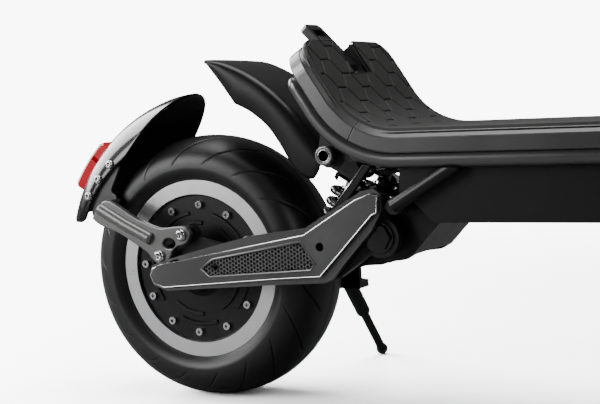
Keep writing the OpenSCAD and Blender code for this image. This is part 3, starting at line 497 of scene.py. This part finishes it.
# %% [markdown]
# ## Rubber mat
# The mat is a thin sheet with raised pads: long six-sided cells in staggered rows with a
# fine groove between them. Each pad is a real, slightly domed tile, so the grooves hold
# shadow from every side. The tiles are clipped to the mat's outline and its slot while the
# mat is still flat, cut across where the deck bends, and then carried onto the deck's line.

# %% Sizes of the mat
cell_across, cell_along, groove = 0.0540, 0.0330, 0.0011
tail_mark = flat_long + arc_long - grow
slot_from, slot_half, slot_lap = tail_mark + 0.049, 0.020, 0.0015
pad_top, pad_foot, corner = 0.0, -0.0011, 0.023
print("cells of", cell_across, "by", cell_along, "m, slot from", round(slot_from, 3))

# %% [markdown]
# A tile at the mat's edge is a hexagon with a straight cut. Clipping walks round its
# outline, keeps the corners that lie inside, and adds one where a side crosses the cut.
# Shrinking moves every side inwards and meets them again, which leaves an even groove.

# %% Cut and shrink flat outlines
def half_width(s):
    """Half the mat's width, less round its two tail corners."""
    over = s - (full_long - corner)
    if over <= 0:
        return mat_half
    return mat_half - corner + math.sqrt(max(0.0, corner ** 2 - over ** 2))


def clip(poly, inside, cross):
    out = []
    for i, p in enumerate(poly):
        q = poly[(i + 1) % len(poly)]
        if inside(p):
            out.append(p)
        if inside(p) != inside(q):
            out.append(cross(p, q))
    return out


def clip_box(poly, y0, y1, s0, s1):
    for axis, bound, sign in ((0, y0, 1), (0, y1, -1), (1, s0, 1), (1, s1, -1)):
        def inside(p):
            return (p[axis] - bound) * sign >= 0

        def cross(p, q):
            k = (bound - p[axis]) / (q[axis] - p[axis])
            return (p[0] + (q[0] - p[0]) * k, p[1] + (q[1] - p[1]) * k)
        if poly:
            poly = clip(poly, inside, cross)
    return poly


def around(poly):
    """Each corner with the next one."""
    return zip(poly, poly[1:] + poly[:1])


def area_of(poly):
    return sum(p[0] * q[1] - q[0] * p[1] for p, q in around(poly)) / 2


def shrink(poly, by):
    """Moves each side of a convex outline inwards by the same distance."""
    turn = 1 if area_of(poly) > 0 else -1
    lines = []
    for p, q in around(poly):
        d = Vector((q[0] - p[0], q[1] - p[1]))
        if d.length < 1e-6:
            continue
        n = Vector((-d.y, d.x)).normalized() * turn
        lines.append((Vector(p) + n * by, d.normalized()))
    out = []
    for (a, d), (b, e) in around(lines):
        k = d.x * e.y - d.y * e.x
        if abs(k) < 1e-6:
            continue
        t = ((b.x - a.x) * e.y - (b.y - a.y) * e.x) / k
        out.append(tuple(a + d * t))
    return out

def outline_ok(poly):
    return len(poly) > 2 and abs(area_of(poly)) > 6e-6


print("cut and shrink ready")

# %% [markdown]
# Rows of hexagons are laid from the tail towards the front, every second row shifted by
# half a cell. Beside the slot a tile is cut at the slot's edge; one that is clear of it
# stays whole, so no groove runs across it. A tile has a foot, a shoulder just under the
# top, and a top, each a little smaller than the one below.

# %% Tiles of the mat
mat = bmesh.new()
mat_start = 0.0005
whole_mat = ((-mat_half, mat_half, mat_start, full_long),)
zones = ((-mat_half, mat_half, mat_start, slot_from - 0.001),
         (-mat_half, -slot_half, slot_from - 0.001, full_long),
         (slot_half, mat_half, slot_from - 0.001, full_long))
tiles = 0
first_row = tail_mark + 0.0475 + cell_along * 2
for row in range(int(first_row / (cell_along / 2)) + 2):
    s_mid = first_row - row * cell_along / 2
    for col in range(-4, 5):
        y_mid = (col + (0.25 if row % 2 else -0.25)) * cell_across
        hexagon = [(y_mid + cell_across * a / 3, s_mid + cell_along * b / 2)
                   for a, b in ((1, 0), (0.5, 1), (-0.5, 1), (-1, 0), (-0.5, -1), (0.5, -1))]
        clear = (min(abs(p[0]) for p in hexagon) > slot_half - slot_lap
                 or max(p[1] for p in hexagon) < slot_from)
        for y0, y1, s0, s1 in whole_mat if clear else zones:
            part = clip_box(hexagon, y0, y1, s0, s1)
            if len(part) > 2 and max(p[1] for p in part) > full_long - corner:
                part = [(max(-half_width(p[1]), min(half_width(p[1]), p[0])), p[1]) for p in part]
            if not outline_ok(part):
                continue
            foot, shoulder, top = (shrink(part, groove * k) for k in (0.55, 0.75, 1.3))
            if len({len(foot), len(shoulder), len(top)}) != 1 or not outline_ok(top):
                continue
            rings = [[mat.verts.new((p[0], p[1], h)) for p in ring]
                     for ring, h in ((foot, pad_foot), (shoulder, pad_top - 0.0003), (top, pad_top))]
            for a, b in zip(rings, rings[1:]):
                for i in range(len(a)):
                    j = (i + 1) % len(a)
                    mat.faces.new((a[i], a[j], b[j], b[i]))
            mat.faces.new(rings[-1])
            tiles += 1
print(tiles, "tiles")

# %% [markdown]
# Under the tiles lies one sheet, which is the floor of every groove; it is painted far darker
# than the tiles, as painted shade in the grooves. The flat mat is then cut across at fifteen
# lines in the bend, because a quad can't bend by itself, and every point is carried onto the deck's
# line.

# %% The sheet under the tiles
def strip(y0, y1, s0, s1, across, along):
    grid = []
    for i in range(along + 1):
        s = s0 + (s1 - s0) * i / along
        w = half_width(s) - 0.0002
        grid.append([mat.verts.new((max(-w, min(w, y0 + (y1 - y0) * j / across)), s, pad_foot))
                     for j in range(across + 1)])
    for a, b in zip(grid, grid[1:]):
        for j in range(across):
            f = mat.faces.new((a[j], a[j + 1], b[j + 1], b[j]))
            f.material_index = 1
strip(-mat_half, mat_half, 0, slot_from, 2, 2)
for y0, y1 in ((-mat_half, -slot_half), (slot_half, mat_half)):
    strip(y0, y1, slot_from, full_long, 8, 14)
bmesh.ops.recalc_face_normals(mat, faces=mat.faces[:])
for f in mat.faces:
    if f.normal.z < 0 and abs(f.normal.z) > 0.9:
        f.normal_flip()
for i in range(15):
    cut = flat_long + arc_long * i / 14
    everything = mat.verts[:] + mat.edges[:] + mat.faces[:]
    bmesh.ops.bisect_plane(mat, geom=everything, plane_co=(0, cut, 0), plane_no=(0, 1, 0), dist=1e-6)
for v in mat.verts:
    v.co = on_deck(v.co.y, v.co.x, v.co.z)
mat_mesh = bpy.data.meshes.new("mat tiles")
mat.to_mesh(mat_mesh)
mat.free()
print(len(mat_mesh.polygons), "faces in the mat")
# the second finish, on the sheet under the tiles, is painted shade in the grooves
mat_tiles = add_object("mat_tiles", mat_mesh, "chassis", [mat_rubber, groove_floor_shade], smooth=False)

# %% [markdown]
# A rim closes the mat's side: it rises from the deck, rounds over and drops to the groove
# floor. It is a loft of four lines that follow the outline, one half for each side.

# %% The mat's rim
def rim_line(inset):
    """The mat's outline from its front to the end of the tail, as distances along and across."""
    steps = [flat_long * k / 6 for k in range(6)] + [flat_long + arc_long * k / 14 for k in range(15)]
    side = [(s, half_width(s) - inset) for s in steps]
    for k in range(10):
        a = math.pi / 2 * k / 9
        side.append((full_long - corner + math.sin(a) * (corner - inset),
                     mat_half - corner + math.cos(a) * (corner - inset)))
    return side + [(full_long, slot_half)]


rim_levels = ((-mat_thick, 0.0), (-0.0006, 0.0), (0.0, 0.0006), (-0.0011, 0.0014))
for sign, label in ((1, "left"), (-1, "right")):
    rings = [[on_deck(s, y * sign, h) for s, y in rim_line(inset)] for h, inset in rim_levels]
    add_object("mat_rim_" + label, loft(rings), "chassis", mat_rubber)
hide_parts("deck_mat")
print("rim of", len(rings[0]), "points a side")

# %% [markdown]
# ## Mudguard behind the wheel
# The guard is a rounded shell: seen from the front it is an arch, and seen from the side
# its lower edge climbs to a blunt nose over the wheel. Each cross-section is half an
# ellipse, cut short where the edge climbs. The inside is matt, the outside is gloss.

# %% Shell of the rear mudguard
def outward(mesh, test):
    """Turns the faces so that the first ones point the way that test says."""
    b = bmesh.new()
    b.from_mesh(mesh)
    b.faces.ensure_lookup_table()
    right_way = sum(1 if f.normal.dot(test(f.calc_center_median())) > 0 else -1 for f in b.faces)
    if right_way < 0:
        bmesh.ops.reverse_faces(b, faces=b.faces[:])
    b.to_mesh(mesh)
    b.free()
    return mesh

guard_side, guard_half = 138, 62
guard_front, guard_back, tip_from = 95.5, 160.5, 156


def guard_top(a):
    """Radius of the crown in mm at an angle in degrees, forward of the wheel being zero."""
    return 174.5 + 11.5 * min(1.0, (guard_back - a) / 60) ** 0.8


def guard_edge(a):
    """Radius of the lower edge, which climbs to the nose."""
    return 140 + 44 * max(0.0, (124 - a) / 27.5) ** 1.6


def wheel_point(r, y, a):
    """A point at a radius and an angle in degrees about the rear axle."""
    b = math.radians(a)
    return beside_axle(r * math.cos(b), y, r * math.sin(b))


def guard_point(a, turn):
    r = guard_side + (guard_top(a) - guard_side) * math.cos(turn)
    return wheel_point(r, guard_half * math.sin(turn), a)


rings = []
for i in range(81):
    a = guard_front + (guard_back - guard_front) * (i / 80)
    share = min(0.999, max(0.0, (guard_edge(a) - guard_side) / (guard_top(a) - guard_side)))
    limit = math.acos(share)
    if a > tip_from:
        limit *= math.sqrt(max(0.0, 1 - ((a - tip_from) / 4.6) ** 2)) * 0.3 + 0.7
    rings.append([guard_point(a, limit * (j / 24 - 1)) for j in range(49)])
guard_mesh = outward(loft(rings), lambda c: (c - rear_axle).normalized())
guard = add_object("rear_guard", guard_mesh, "swing_arm", [gloss_black, matte_black])
thicken(guard, 3.0)
bevel_edges(guard, 1.2, 3, 50)
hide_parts("rear_mudguard")
print("guard from", guard_front, "to", guard_back, "degrees,", len(guard_mesh.polygons), "faces")

# %% [markdown]
# ## Screws
# Each side of the guard has a row of three button-head screws, and two larger ones hold
# its bracket. A button head is a profile turned about the screw's axis: a low dome, then
# a socket. From the socket's rim inwards the circle is squeezed to six sides.

# %% Screws with rounded heads and a six-sided socket
def dome_screw(mesh, place, way, r, h):
    way = way.normalized()
    u = way.orthogonal().normalized()
    v = way.cross(u)
    profile = [(r, -0.6), (r, h * 0.35), (r * 0.94, h * 0.62), (r * 0.8, h * 0.86),
               (r * 0.62, h * 0.98), (r * 0.5, h), (r * 0.47, h * 0.9), (r * 0.45, h * 0.3),
               (0.001, h * 0.3)]
    flat = math.cos(math.pi / 6)
    rows = []
    for k, (rr, hh) in enumerate(profile):
        in_socket = k > 4
        row = []
        for i in range(24):
            t = math.pi * 2 * i / 24
            six = flat / math.cos((t % (math.pi / 3)) - math.pi / 6) if in_socket else 1
            out = (u * math.cos(t) + v * math.sin(t)) * rr * six * MM
            row.append(mesh.verts.new(place + out + way * hh * MM))
        rows.append(row)
    for a, b in zip(rows, rows[1:]):
        for i in range(24):
            j = (i + 1) % 24
            mesh.faces.new((a[i], a[j], b[j], b[i]))

small_head, large_head, lean_out = (4.8, 3.4), (6.2, 4.4), 0.22
heads = bmesh.new()
for sign in (-1, 1):
    for a in (129, 138, 147):
        b = math.radians(a)
        way = Vector((lean_out * math.cos(b), sign, lean_out * math.sin(b)))
        dome_screw(heads, wheel_point(145.5, sign * 61.2, a), way, *small_head)
    for x, z in ((7, 40), (-21, 18)):
        dome_screw(heads, beside_axle(x, sign * 79.5, z), Vector((0, sign, 0)), *large_head)
screws = add_object("guard_screws", to_mesh(heads, "screw heads"), "swing_arm", bolt_steel)
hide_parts("mudguard_screws")
print(len(screws.data.polygons), "faces in ten screw heads")

# %% [markdown]
# ## The mudguard's bracket
# A flat arm outside the swing arm steps inwards and ends in a plate behind the guard's
# edge. The raised rib along the arm is the bright line that one sees first. Each plate is
# an outline, filled and pushed out to its thickness, with its edges rounded at the end.

# %% Plates with rounded edges
def plate(name, outline, y0, y1, body, material, bevel, holes=()):
    """A flat plate from an outline in mm, standing upright; each hole is (x, z, r, stretch)."""
    mesh = bmesh.new()
    ring = [mesh.verts.new(beside_axle(x, y0, z)) for x, z in outline]
    edges = [mesh.edges.new((a, b)) for a, b in zip(ring, ring[1:] + ring[:1])]
    for x, z, r, tall in holes:
        hole = [mesh.verts.new(beside_axle(x + r * math.cos(t), y0, z + r * tall * math.sin(t)))
                for t in (math.pi * 2 * k / 24 for k in range(24))]
        edges += [mesh.edges.new((a, b)) for a, b in zip(hole, hole[1:] + hole[:1])]
    filled = bmesh.ops.triangle_fill(mesh, edges=edges, use_beauty=True)
    faces = [f for f in filled["geom"] if isinstance(f, bmesh.types.BMFace)]
    out = bmesh.ops.extrude_face_region(mesh, geom=faces)
    bmesh.ops.translate(mesh, vec=Vector((0, (y1 - y0) * MM, 0)),
                        verts=[v for v in out["geom"] if isinstance(v, bmesh.types.BMVert)])
    bmesh.ops.recalc_face_normals(mesh, faces=mesh.faces[:])
    bmesh.ops.dissolve_limit(mesh, angle_limit=math.radians(1), verts=mesh.verts[:],
                             edges=mesh.edges[:])
    o = add_object(name, to_mesh(mesh, name), body, material, smooth=False)
    if bevel:
        bevel_edges(o, bevel, 3, 35)
    return o


def rounded(points, steps=4, share=0.35):
    """Softens each corner of an outline with a short curve."""
    out = []
    n = len(points)
    for i in range(n):
        p, c, q = (Vector(points[(i + k) % n]) for k in (-1, 0, 1))
        a, b = c + (p - c) * share, c + (q - c) * share
        for k in range(steps + 1):
            t = k / steps
            out.append(tuple(a * (1 - t) ** 2 + c * 2 * t * (1 - t) + b * t * t))
    return out

print("plate helper ready")

# %% [markdown]
# The two outlines were measured from the rear axle, in millimetres along and up. A rib
# with a round section lies half sunk in the arm. Both sides of the scooter get the same
# set, so one loop makes them with a sign.

# %% Arms, steps and ribs of the bracket
arm_shape = rounded([(-88, 80), (-52, 58), (-32, 50), (-19, 46.5), (0, 49), (12, 49), (18, 41),
                     (13, 31), (-4, 26), (-10, 14), (-22, 7), (-31, 14), (-37, 22), (-72, 42),
                     (-95, 49), (-107, 57)])
inner_shape = rounded([(-81, 113), (-97, 104), (-112, 88), (-121, 71), (-123, 57), (-106, 54),
                       (-86, 78), (-96, 84), (-88, 99)])
step_shape = rounded([(-87, 78), (-108, 57), (-103, 55), (-84, 73)])
rib_line = ((-95, 67.5), (-93, 66.5), (-62, 50), (-33, 36.5), (-31, 35.5))
oval_hole = (-9, 31, 7.6, 0.72)
brackets = []
for sign, label in ((-1, "near"), (1, "far")):
    arm = plate("bracket_arm_" + label, arm_shape, 72.5 * sign, 79.5 * sign, "swing_arm",
                bracket_grey, 1.6, holes=[oval_hole])
    inner = plate("bracket_plate_" + label, inner_shape, 54.5 * sign, 57.5 * sign, "swing_arm",
                  graphite, 0.6)
    step = plate("bracket_step_" + label, step_shape, 55 * sign, 78 * sign, "swing_arm",
                 bracket_grey, 1.2)
    rib = tube("bracket_rib_" + label, [beside_axle(x, 79.2 * sign, z) for x, z in rib_line],
               6.4 * MM, "swing_arm", bracket_grey, 24)
    brackets += [arm, inner, step, rib]
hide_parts("mudguard_brackets")
print(len(brackets), "bracket pieces")

# %% [markdown]
# ## Tail light
# The lens is a shallow box that follows the guard's crown, with rounded long edges and
# ends that curve in. Its underside lies just inside the guard, so that no gap shows. The
# white strip across it is the same section, a little prouder and much shorter.

# %% Tail light with its white strip
lens_sink, lens_pull = 1.2, 2.2
lens_section = ((179, -38), (181.6, -36.4), (182.6, -33), (182.6, 33), (181.6, 36.4), (179, 38))


def lens_part(name, a0, a1, lift, material):
    rings = []
    steps = 14
    for k in range(steps + 1):
        a = a0 + (a1 - a0) * k / steps
        ends = min(1.0, (a - a0) / 0.7, (a1 - a) / 0.7)
        pull = lens_pull * (1 - math.sqrt(max(0.0, 1 - (1 - ends) ** 2)))
        crown = guard_top(a) - guard_side
        under = [(guard_side + crown * math.sqrt(1 - (y / guard_half) ** 2) - lens_sink, y)
                 for y in (38, 28, 18, 9, 0, -9, -18, -28, -38)]
        rings.append([wheel_point(r, y, a)
                      for r, y in [(r + lift - pull, y) for r, y in lens_section] + under])
    o = add_object(name, loft(rings, closed=True, caps=True), "swing_arm", material, smooth=False)
    return o


lens = lens_part("tail_lens", 131, 150, 0.3, red_lens)
lens_part("tail_strip", 136.6, 138.2, 0.55, white_strip)
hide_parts("tail_light")

print("tail light of", len(lens.data.polygons), "faces")

# %% [markdown]
# ## Inner mudguard
# The shell between deck and wheel has two tall cheeks that bulge a little, a rounded
# ridge, and a sheet across. Two lines in side view carry it: the lower edge and the ridge.
# Both are cut into the same number of equal steps, and each pair of points gets one
# cross-section, so that neither line can make a wave in the other.

# %% Loft of the inner mudguard
low_edge = [Vector((31 + 30 * k / 18, 0, 214 - 42 * k / 18)) for k in range(18)]
low_edge += smooth_line([(61, 0, 172), (79, 0, 163), (98, 0, 148), (112, 0, 129), (124, 0, 109),
                         (136, 0, 97), (148, 0, 94), (156, 0, 104)], 7)
ridge = smooth_line([(29, 0, 217.5), (45, 0, 215.5), (61, 0, 209.5), (76, 0, 202), (95, 0, 190),
                     (115, 0, 173.5), (134, 0, 154), (149, 0, 134), (157, 0, 121), (160, 0, 110)], 12)


def spaced(points, count):
    """The same line with count points at equal steps."""
    long = [0.0]
    for p, q in zip(points, points[1:]):
        long.append(long[-1] + (q - p).length)
    out, k = [], 0
    for i in range(count):
        want = long[-1] * i / (count - 1)
        while k < len(points) - 2 and long[k + 1] < want:
            k += 1
        t = (want - long[k]) / max(1e-9, long[k + 1] - long[k])
        out.append(points[k].lerp(points[k + 1], min(1.0, t)))
    return out


low_edge, ridge = spaced(low_edge, 90), spaced(ridge, 90)
cheek = ((50.2, 0), (51.6, 0.12), (52.9, 0.35), (53.3, 0.6), (52.6, 0.8), (50.6, 0.92),
         (47.2, 0.985), (42.5, 1.0), (34, 1.0), (24, 1.0), (12, 1.0))
rings = []
for k, (a, b) in enumerate(zip(low_edge, ridge)):
    half = [(y, a + (b - a) * u) for y, u in cheek]
    whole = [(-y, p) for y, p in half] + [(0, b)] + [(y, p) for y, p in reversed(half)]
    ring = []
    for y, p in whole:
        nose = 16 * max(0.0, 1 - k / 14) ** 1.5 * (1 - (y / 54) ** 2)
        ring.append(beside_axle(p.x - nose, y, p.z + nose * 0.12))
    rings.append(ring)
inner_mesh = outward(loft(rings), lambda c: (c - rear_axle - Vector((0.06, 0, 0.09))).normalized())
inner_guard = add_object("inner_guard", inner_mesh, "chassis", [satin_black, matte_black])
thicken(inner_guard, 2.4)
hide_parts("inner_mudguard")
print("inner guard of", len(inner_mesh.polygons), "faces")

# %% [markdown]
# ## Tyres
# A tyre is one outline turned about the axle. The tread's grooves are carved into the
# turned surface: eighteen curved cuts on each side sweep from the shoulder up to the
# crown, and a thin ring marks where the sidewall begins.
# The grid of points leans along the grooves, so that a groove is a row of the grid and its
# edges are clean.

# %% Turned tyre with carved grooves
bead = ((0.8, 93.5), (0.86, 95.5))
groove_count, groove_deep, groove_turn, line_deep = 18, 2.2, 21.0, 0.4
pitch = 360.0 / groove_count
offsets = [0, 0.35, 0.55, 0.8] + [0.8 + (pitch - 1.6) * k / 22 for k in range(1, 22)]
offsets += [pitch - 0.8, pitch - 0.55, pitch - 0.35]
depth = [1.0, 0.75, 0.3, 0.0] + [0.0] * 21 + [0.0, 0.3, 0.75]


def tyre(name, centre, body, node):
    half, outer = tyre_half / MM, tyre_r / MM
    rows = [(-half * share, r, None) for share, r in bead]
    for k in range(65):
        t = math.pi * (k / 64) - math.pi / 2
        rows.append((half * math.sin(t), 104 + (outer - 104) * max(0.0, math.cos(t)) ** 0.72, t))
    rows += [(-y, r, None) for y, r, _ in reversed(rows[:2])]
    verts, faces = [], []
    for rib in range(groove_count):
        for shift, part in zip(offsets, depth):
            base = 102 + rib * pitch + shift
            for y, r, t in rows:
                lean = dip = 0.0
                if t is not None:
                    v = abs(t) / (math.pi / 2)
                    u = min(1.0, max(0.0, (0.93 - v) / 0.7))
                    lean = groove_turn * u
                    if 0 < u < 1:
                        dip = groove_deep * part * min(1.0, u / 0.08, (1 - u) / 0.08)
                    if 0.945 < v < 0.975:
                        dip = line_deep
                    if y > 0:
                        lean += pitch / 2 * u
                phi = math.radians(base - lean)
                rr = (r - dip) * MM
                verts.append(centre + Vector((rr * math.cos(phi), y * MM, rr * math.sin(phi))))
    m, count = len(rows), groove_count * len(offsets)
    for i in range(count):
        j = (i + 1) % count
        for k in range(m - 1):
            faces.append((i * m + k, i * m + k + 1, j * m + k + 1, j * m + k))
        faces.append((i * m + m - 1, i * m, j * m, j * m + m - 1))
    o = add_object(name, from_faces(name, verts, faces), body, tyre_rubber)
    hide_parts(node)
    print(name, len(faces), "faces")


tyre("rear_tyre_tread", rear_axle, "rear_wheel", "rear_tyre")
tyre("front_tyre_tread", front_axle, "front_wheel", "front_tyre")

# %% [markdown]
# ## Coil springs
# Each spring is a round wire wound about its shock. It rides with the shock's upper half.

# %% Two coils
shock_low, shock_top = beside_axle(158, 0, 30), beside_axle(194, 0, 103)
shock_way = (shock_top - shock_low).normalized()
shock_side = Vector((0, 1, 0)).cross(shock_way).normalized()
shock_long = (shock_top - shock_low).length
coil_low, coil_high, coil_turns = 0.0205, shock_long - 0.0225, 3.2
wire_r, coil_r, shock_y = 0.0038, 0.0172, 36
for sign, label in ((-1, "near"), (1, "far")):
    middle = Vector((0, sign * shock_y * MM, 0))
    line = []
    steps = 220
    for i in range(steps + 1):
        t = i / steps
        a = 2 * math.pi * coil_turns * t
        line.append(shock_low + middle + shock_way * (coil_low + (coil_high - coil_low) * t)
                    + (shock_side * math.cos(a) + Vector((0, 1, 0)) * math.sin(a)) * coil_r)
    coil = tube("coil_" + label, line, wire_r, "shock_upper", gloss_black, 14)
    tuple(shock_top)
    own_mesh(coil)
    if sign < 0:
        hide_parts("shock_springs")
print("coils of", coil_turns, "turns,", round(coil_high - coil_low, 4), "m long")

# %% [markdown]
# ## Rolled edge of the deck
# A round tube runs below the band on each side, round the bend and up the tail, where
# it ends in a closed, rounded tip.

# %% Edge tubes
tip, tip_long = tail_mark + 0.064, 0.012
rail_y, rail_drop, rail_r = 0.0918, -0.0300, 0.0078
stops = [flat_long * k / 4 for k in range(4)] + [flat_long + arc_long * k / 16 for k in range(17)]
stops += [tip - tip_long + tip_long * math.sin(math.pi / 2 * k / 8) for k in range(9)]
for sign, label in ((-1, "near"), (1, "far")):
    rings = []
    for s in stops:
        near_end = max(0.0, (s - (tip - tip_long)) / tip_long)
        r = rail_r * math.sqrt(max(0.0004, 1 - near_end ** 2))
        rings.append([on_deck(s, sign * rail_y + r * math.cos(a), rail_drop + r * math.sin(a))
                      for a in (2 * math.pi * k / 28 for k in range(28))])
    rail = add_object("edge_rail_" + label, loft(rings, closed=True, caps=True), "chassis", band_grey)
    if sign < 0:
        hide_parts("edge_tubes")
print("edge tubes of", len(stops), "rings")

# %% [markdown]
# ## Frame band and tail cover
# The deck's side is a flat band with a wide bevel on its upper edge. A seam in the bend
# parts it from the tail cover, which has the same section and rounded corners at the top.
# Sections are set square to the deck's line, so band and bevel bend with it.

# %% Section of band and cover
band_half, band_low, cover_end, cover_corner = 0.100, -0.0235, full_long - 0.002, 0.028
seam, seam_half = flat_long + bend_r * math.radians(29.6), 0.0003


def side_section(s, inner, sign):
    over = s - (cover_end - cover_corner)
    w = band_half
    if over > 0:
        w += math.sqrt(max(0.0, cover_corner ** 2 - over ** 2)) - cover_corner
    outline = ((inner, band_low), (w - 0.0016, band_low), (w - 0.0005, band_low + 0.0005),
               (w, band_low + 0.0016), (w, -0.0098), (w - 0.0004, -0.0088),
               (w - 0.0056, -0.0026), (w - 0.0066, -0.0021), (inner, -0.0021))
    return [on_deck(s, sign * y, h) for y, h in outline]


def side_piece(name, stops, sign, node=None):
    rings = []
    for s in stops:
        if abs(s - slot_from) < 1e-6:
            rings.append(side_section(s, 0.0, sign))
        rings.append(side_section(s, slot_half if s >= slot_from - 1e-6 else 0.0, sign))
    mesh = loft(rings, closed=True, caps=True)
    o = add_object(name, mesh, "chassis", band_grey, smooth=False)
    bevel_edges(o, 0.5, 2, 28)
    if node:
        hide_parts(node)
print("seam at", round(seam, 4), "m along the deck's line")

# %% [markdown]
# Sections stand close together in the bend and at the rounded corners, and far apart on
# the straight. Where the slot starts there are two at the same place, one whole and one
# open, which makes the slot's square end.

# %% Lofted band and cover
bend_end = flat_long + arc_long
frame_long, cover_start = seam - seam_half - flat_long, seam + seam_half
frame_stops = [flat_long * k / 6 for k in range(7)]
frame_stops += [flat_long + frame_long * k / 16 for k in range(1, 17)]
cover_stops = [cover_start + (bend_end - seam) * k / 16 for k in range(17)]
cover_stops += [slot_from, cover_end - cover_corner]
cover_stops += [cover_end - cover_corner + cover_corner * math.sin(math.pi / 2 * k / 14)
                for k in range(1, 15)]
for sign, label in ((-1, "near"), (1, "far")):
    side_piece("frame_band_" + label, frame_stops, sign, "deck_frame" if sign < 0 else None)
    side_piece("tail_band_" + label, cover_stops, sign, "tail_cover" if sign < 0 else None)
print(len(frame_stops), "sections in the band,", len(cover_stops), "in the cover")

# %% [markdown]
# ## Arm covers
# The covers carry two things the eye finds first: a bright line along every edge, where
# the paint is cut back to metal, and a panel of small six-sided cells. The lines are thin
# wires along the outline, because a true bevel this narrow would break up at the corners.

# %% Bright edges
ridge_shape = ((-19, 9), (152, 41), (209, 75), (225, 81), (232, 79), (231, 63), (226, 61),
               (168, 1), (123, -2), (-15, -14), (-27, -10), (-31, -2), (-28, 5))
panel_shape = ((32, 6), (46, 16), (148, 35), (163, 13), (158, 7), (42, -2))
cover_face = 84.0


def wire_round(name, shape, sunk, sign, radius, material, sides):
    """A thin wire along a closed outline on the cover's face, sunk in by a little."""
    line = [beside_axle(x, (cover_face - sunk) * sign, z) for x, z in shape + shape[:1]]
    o = tube(name, line, radius * MM, "swing_arm", material, sides)


for sign, label in ((-1, "near"), (1, "far")):
    wire_round("cover_edge_" + label, ridge_shape, 0.5, sign, 0.85, bright_edge, 10)
    wire_round("panel_frame_" + label, panel_shape, 0.3, sign, 1.35, bracket_grey, 12)
print("edges of", len(ridge_shape), "and", len(panel_shape), "corners")

# %% [markdown]
# The cells are real walls over a dark floor: each is a hexagon whose rim is pushed back
# into the cover, and its neighbours share their outer edges with it. A cell that would
# cross the panel's outline, or the small lock, is left out.

# %% Cells of the panel
step, wall, lock_x, lock_z = 4.1, 0.5, 48, 7
cell_r = step / math.sqrt(3)
cell_rings = ((cell_r, cover_face - 0.9), (cell_r - wall, cover_face - 0.9),
              (cell_r - wall, cover_face - 2.0))


def inside(x, z, shape, margin):
    """True when a point is inside a convex outline and away from its edge."""
    sides = []
    for (x0, z0), (x1, z1) in zip(shape, shape[1:] + shape[:1]):
        long = math.hypot(x1 - x0, z1 - z0)
        sides.append(((x1 - x0) * (z - z0) - (z1 - z0) * (x - x0)) / long)
    return all(d > margin for d in sides) or all(d < -margin for d in sides)

def add_cell(cells, x, z, sign):
    rows = [[cells.verts.new(beside_axle(x + r * math.cos(k * math.pi / 3), y * sign,
                                         z + r * math.sin(k * math.pi / 3))) for k in range(6)]
            for r, y in cell_rings]
    for a, b in zip(rows, rows[1:]):
        for k in range(6):
            n = (k + 1) % 6
            cells.faces.new((a[k], a[n], b[n], b[k]) if sign < 0 else (a[k], b[k], b[n], a[n]))


for sign, label in ((-1, "near"), (1, "far")):
    cells = bmesh.new()
    for i in range(36):
        for j in range(12):
            x, z = 34 + i * step * 0.866, -6 + (j + (i % 2) / 2) * step
            if inside(x, z, panel_shape, 1.3) and math.hypot(x - lock_x, z - lock_z) >= 4:
                add_cell(cells, x, z, sign)
    bmesh.ops.remove_doubles(cells, verts=cells.verts[:], dist=2e-5)
    web = add_object("cell_web_" + label, to_mesh(cells, "cells"), "swing_arm", bracket_grey,
                     smooth=False)
    bed = plate("cell_bed_" + label, list(panel_shape), (cover_face - 3) * sign,
                (cover_face - 1.9) * sign, "swing_arm", matte_black, 0,
                holes=[(lock_x, lock_z, 2.4, 1)])
    if sign < 0:
        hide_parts("honeycomb_panels")
print(len(web.data.polygons) // 12, "cells a side")

# %% [markdown]
# ## Tube end and strut
# Small bright parts around the shock: the ground end of the cross tube, and a flat strut
# in front of the coil whose upper edge carries a thin bright wire as a painted highlight. A ring is one
# small profile turned about its axis.

# %% End rings and struts
tube_x, tube_z = 167, 117
strut_shape = [(209, 108), (217, 106), (180, 60), (172, 64)]
strut_highlight_line = ((209.5, 107.5), (172.8, 64.5))


def turned_ring(name, y, r_in, r_out, sign, material, proud=0.9):
    profile = ((r_in, -2.5), (r_in, proud - 0.3), (r_in + 0.3, proud), (r_out - 0.6, proud),
               (r_out, proud - 0.6), (r_out, -2.5))
    rings = []
    for k in range(41):
        a = 2 * math.pi * k / 40
        rings.append([beside_axle(tube_x + r * math.cos(a), sign * (y + h), tube_z + r * math.sin(a))
                      for r, h in profile])
    o = add_object(name, loft(rings), "chassis", material)


for sign, label in ((-1, "near"), (1, "far")):
    turned_ring("tube_end_" + label, 62.2, 6.6, 9.6, sign, bracket_grey)
    turned_ring("tube_bore_" + label, 62.6, 5.4, 6.7, sign, bright_edge)
    strut = plate("strut_" + label, strut_shape, 56.5 * sign, 62 * sign, "chassis", satin_black, 1.0)
    # painted highlight: a bright metal wire along the strut's upper edge
    cut = tube("strut_highlight_line_" + label, [beside_axle(x, 61.8 * sign, z) for x, z in strut_highlight_line],
               0.8 * MM, "chassis", bright_edge, 10)
print("cross tube's end at", beside_axle(tube_x, 0, tube_z))
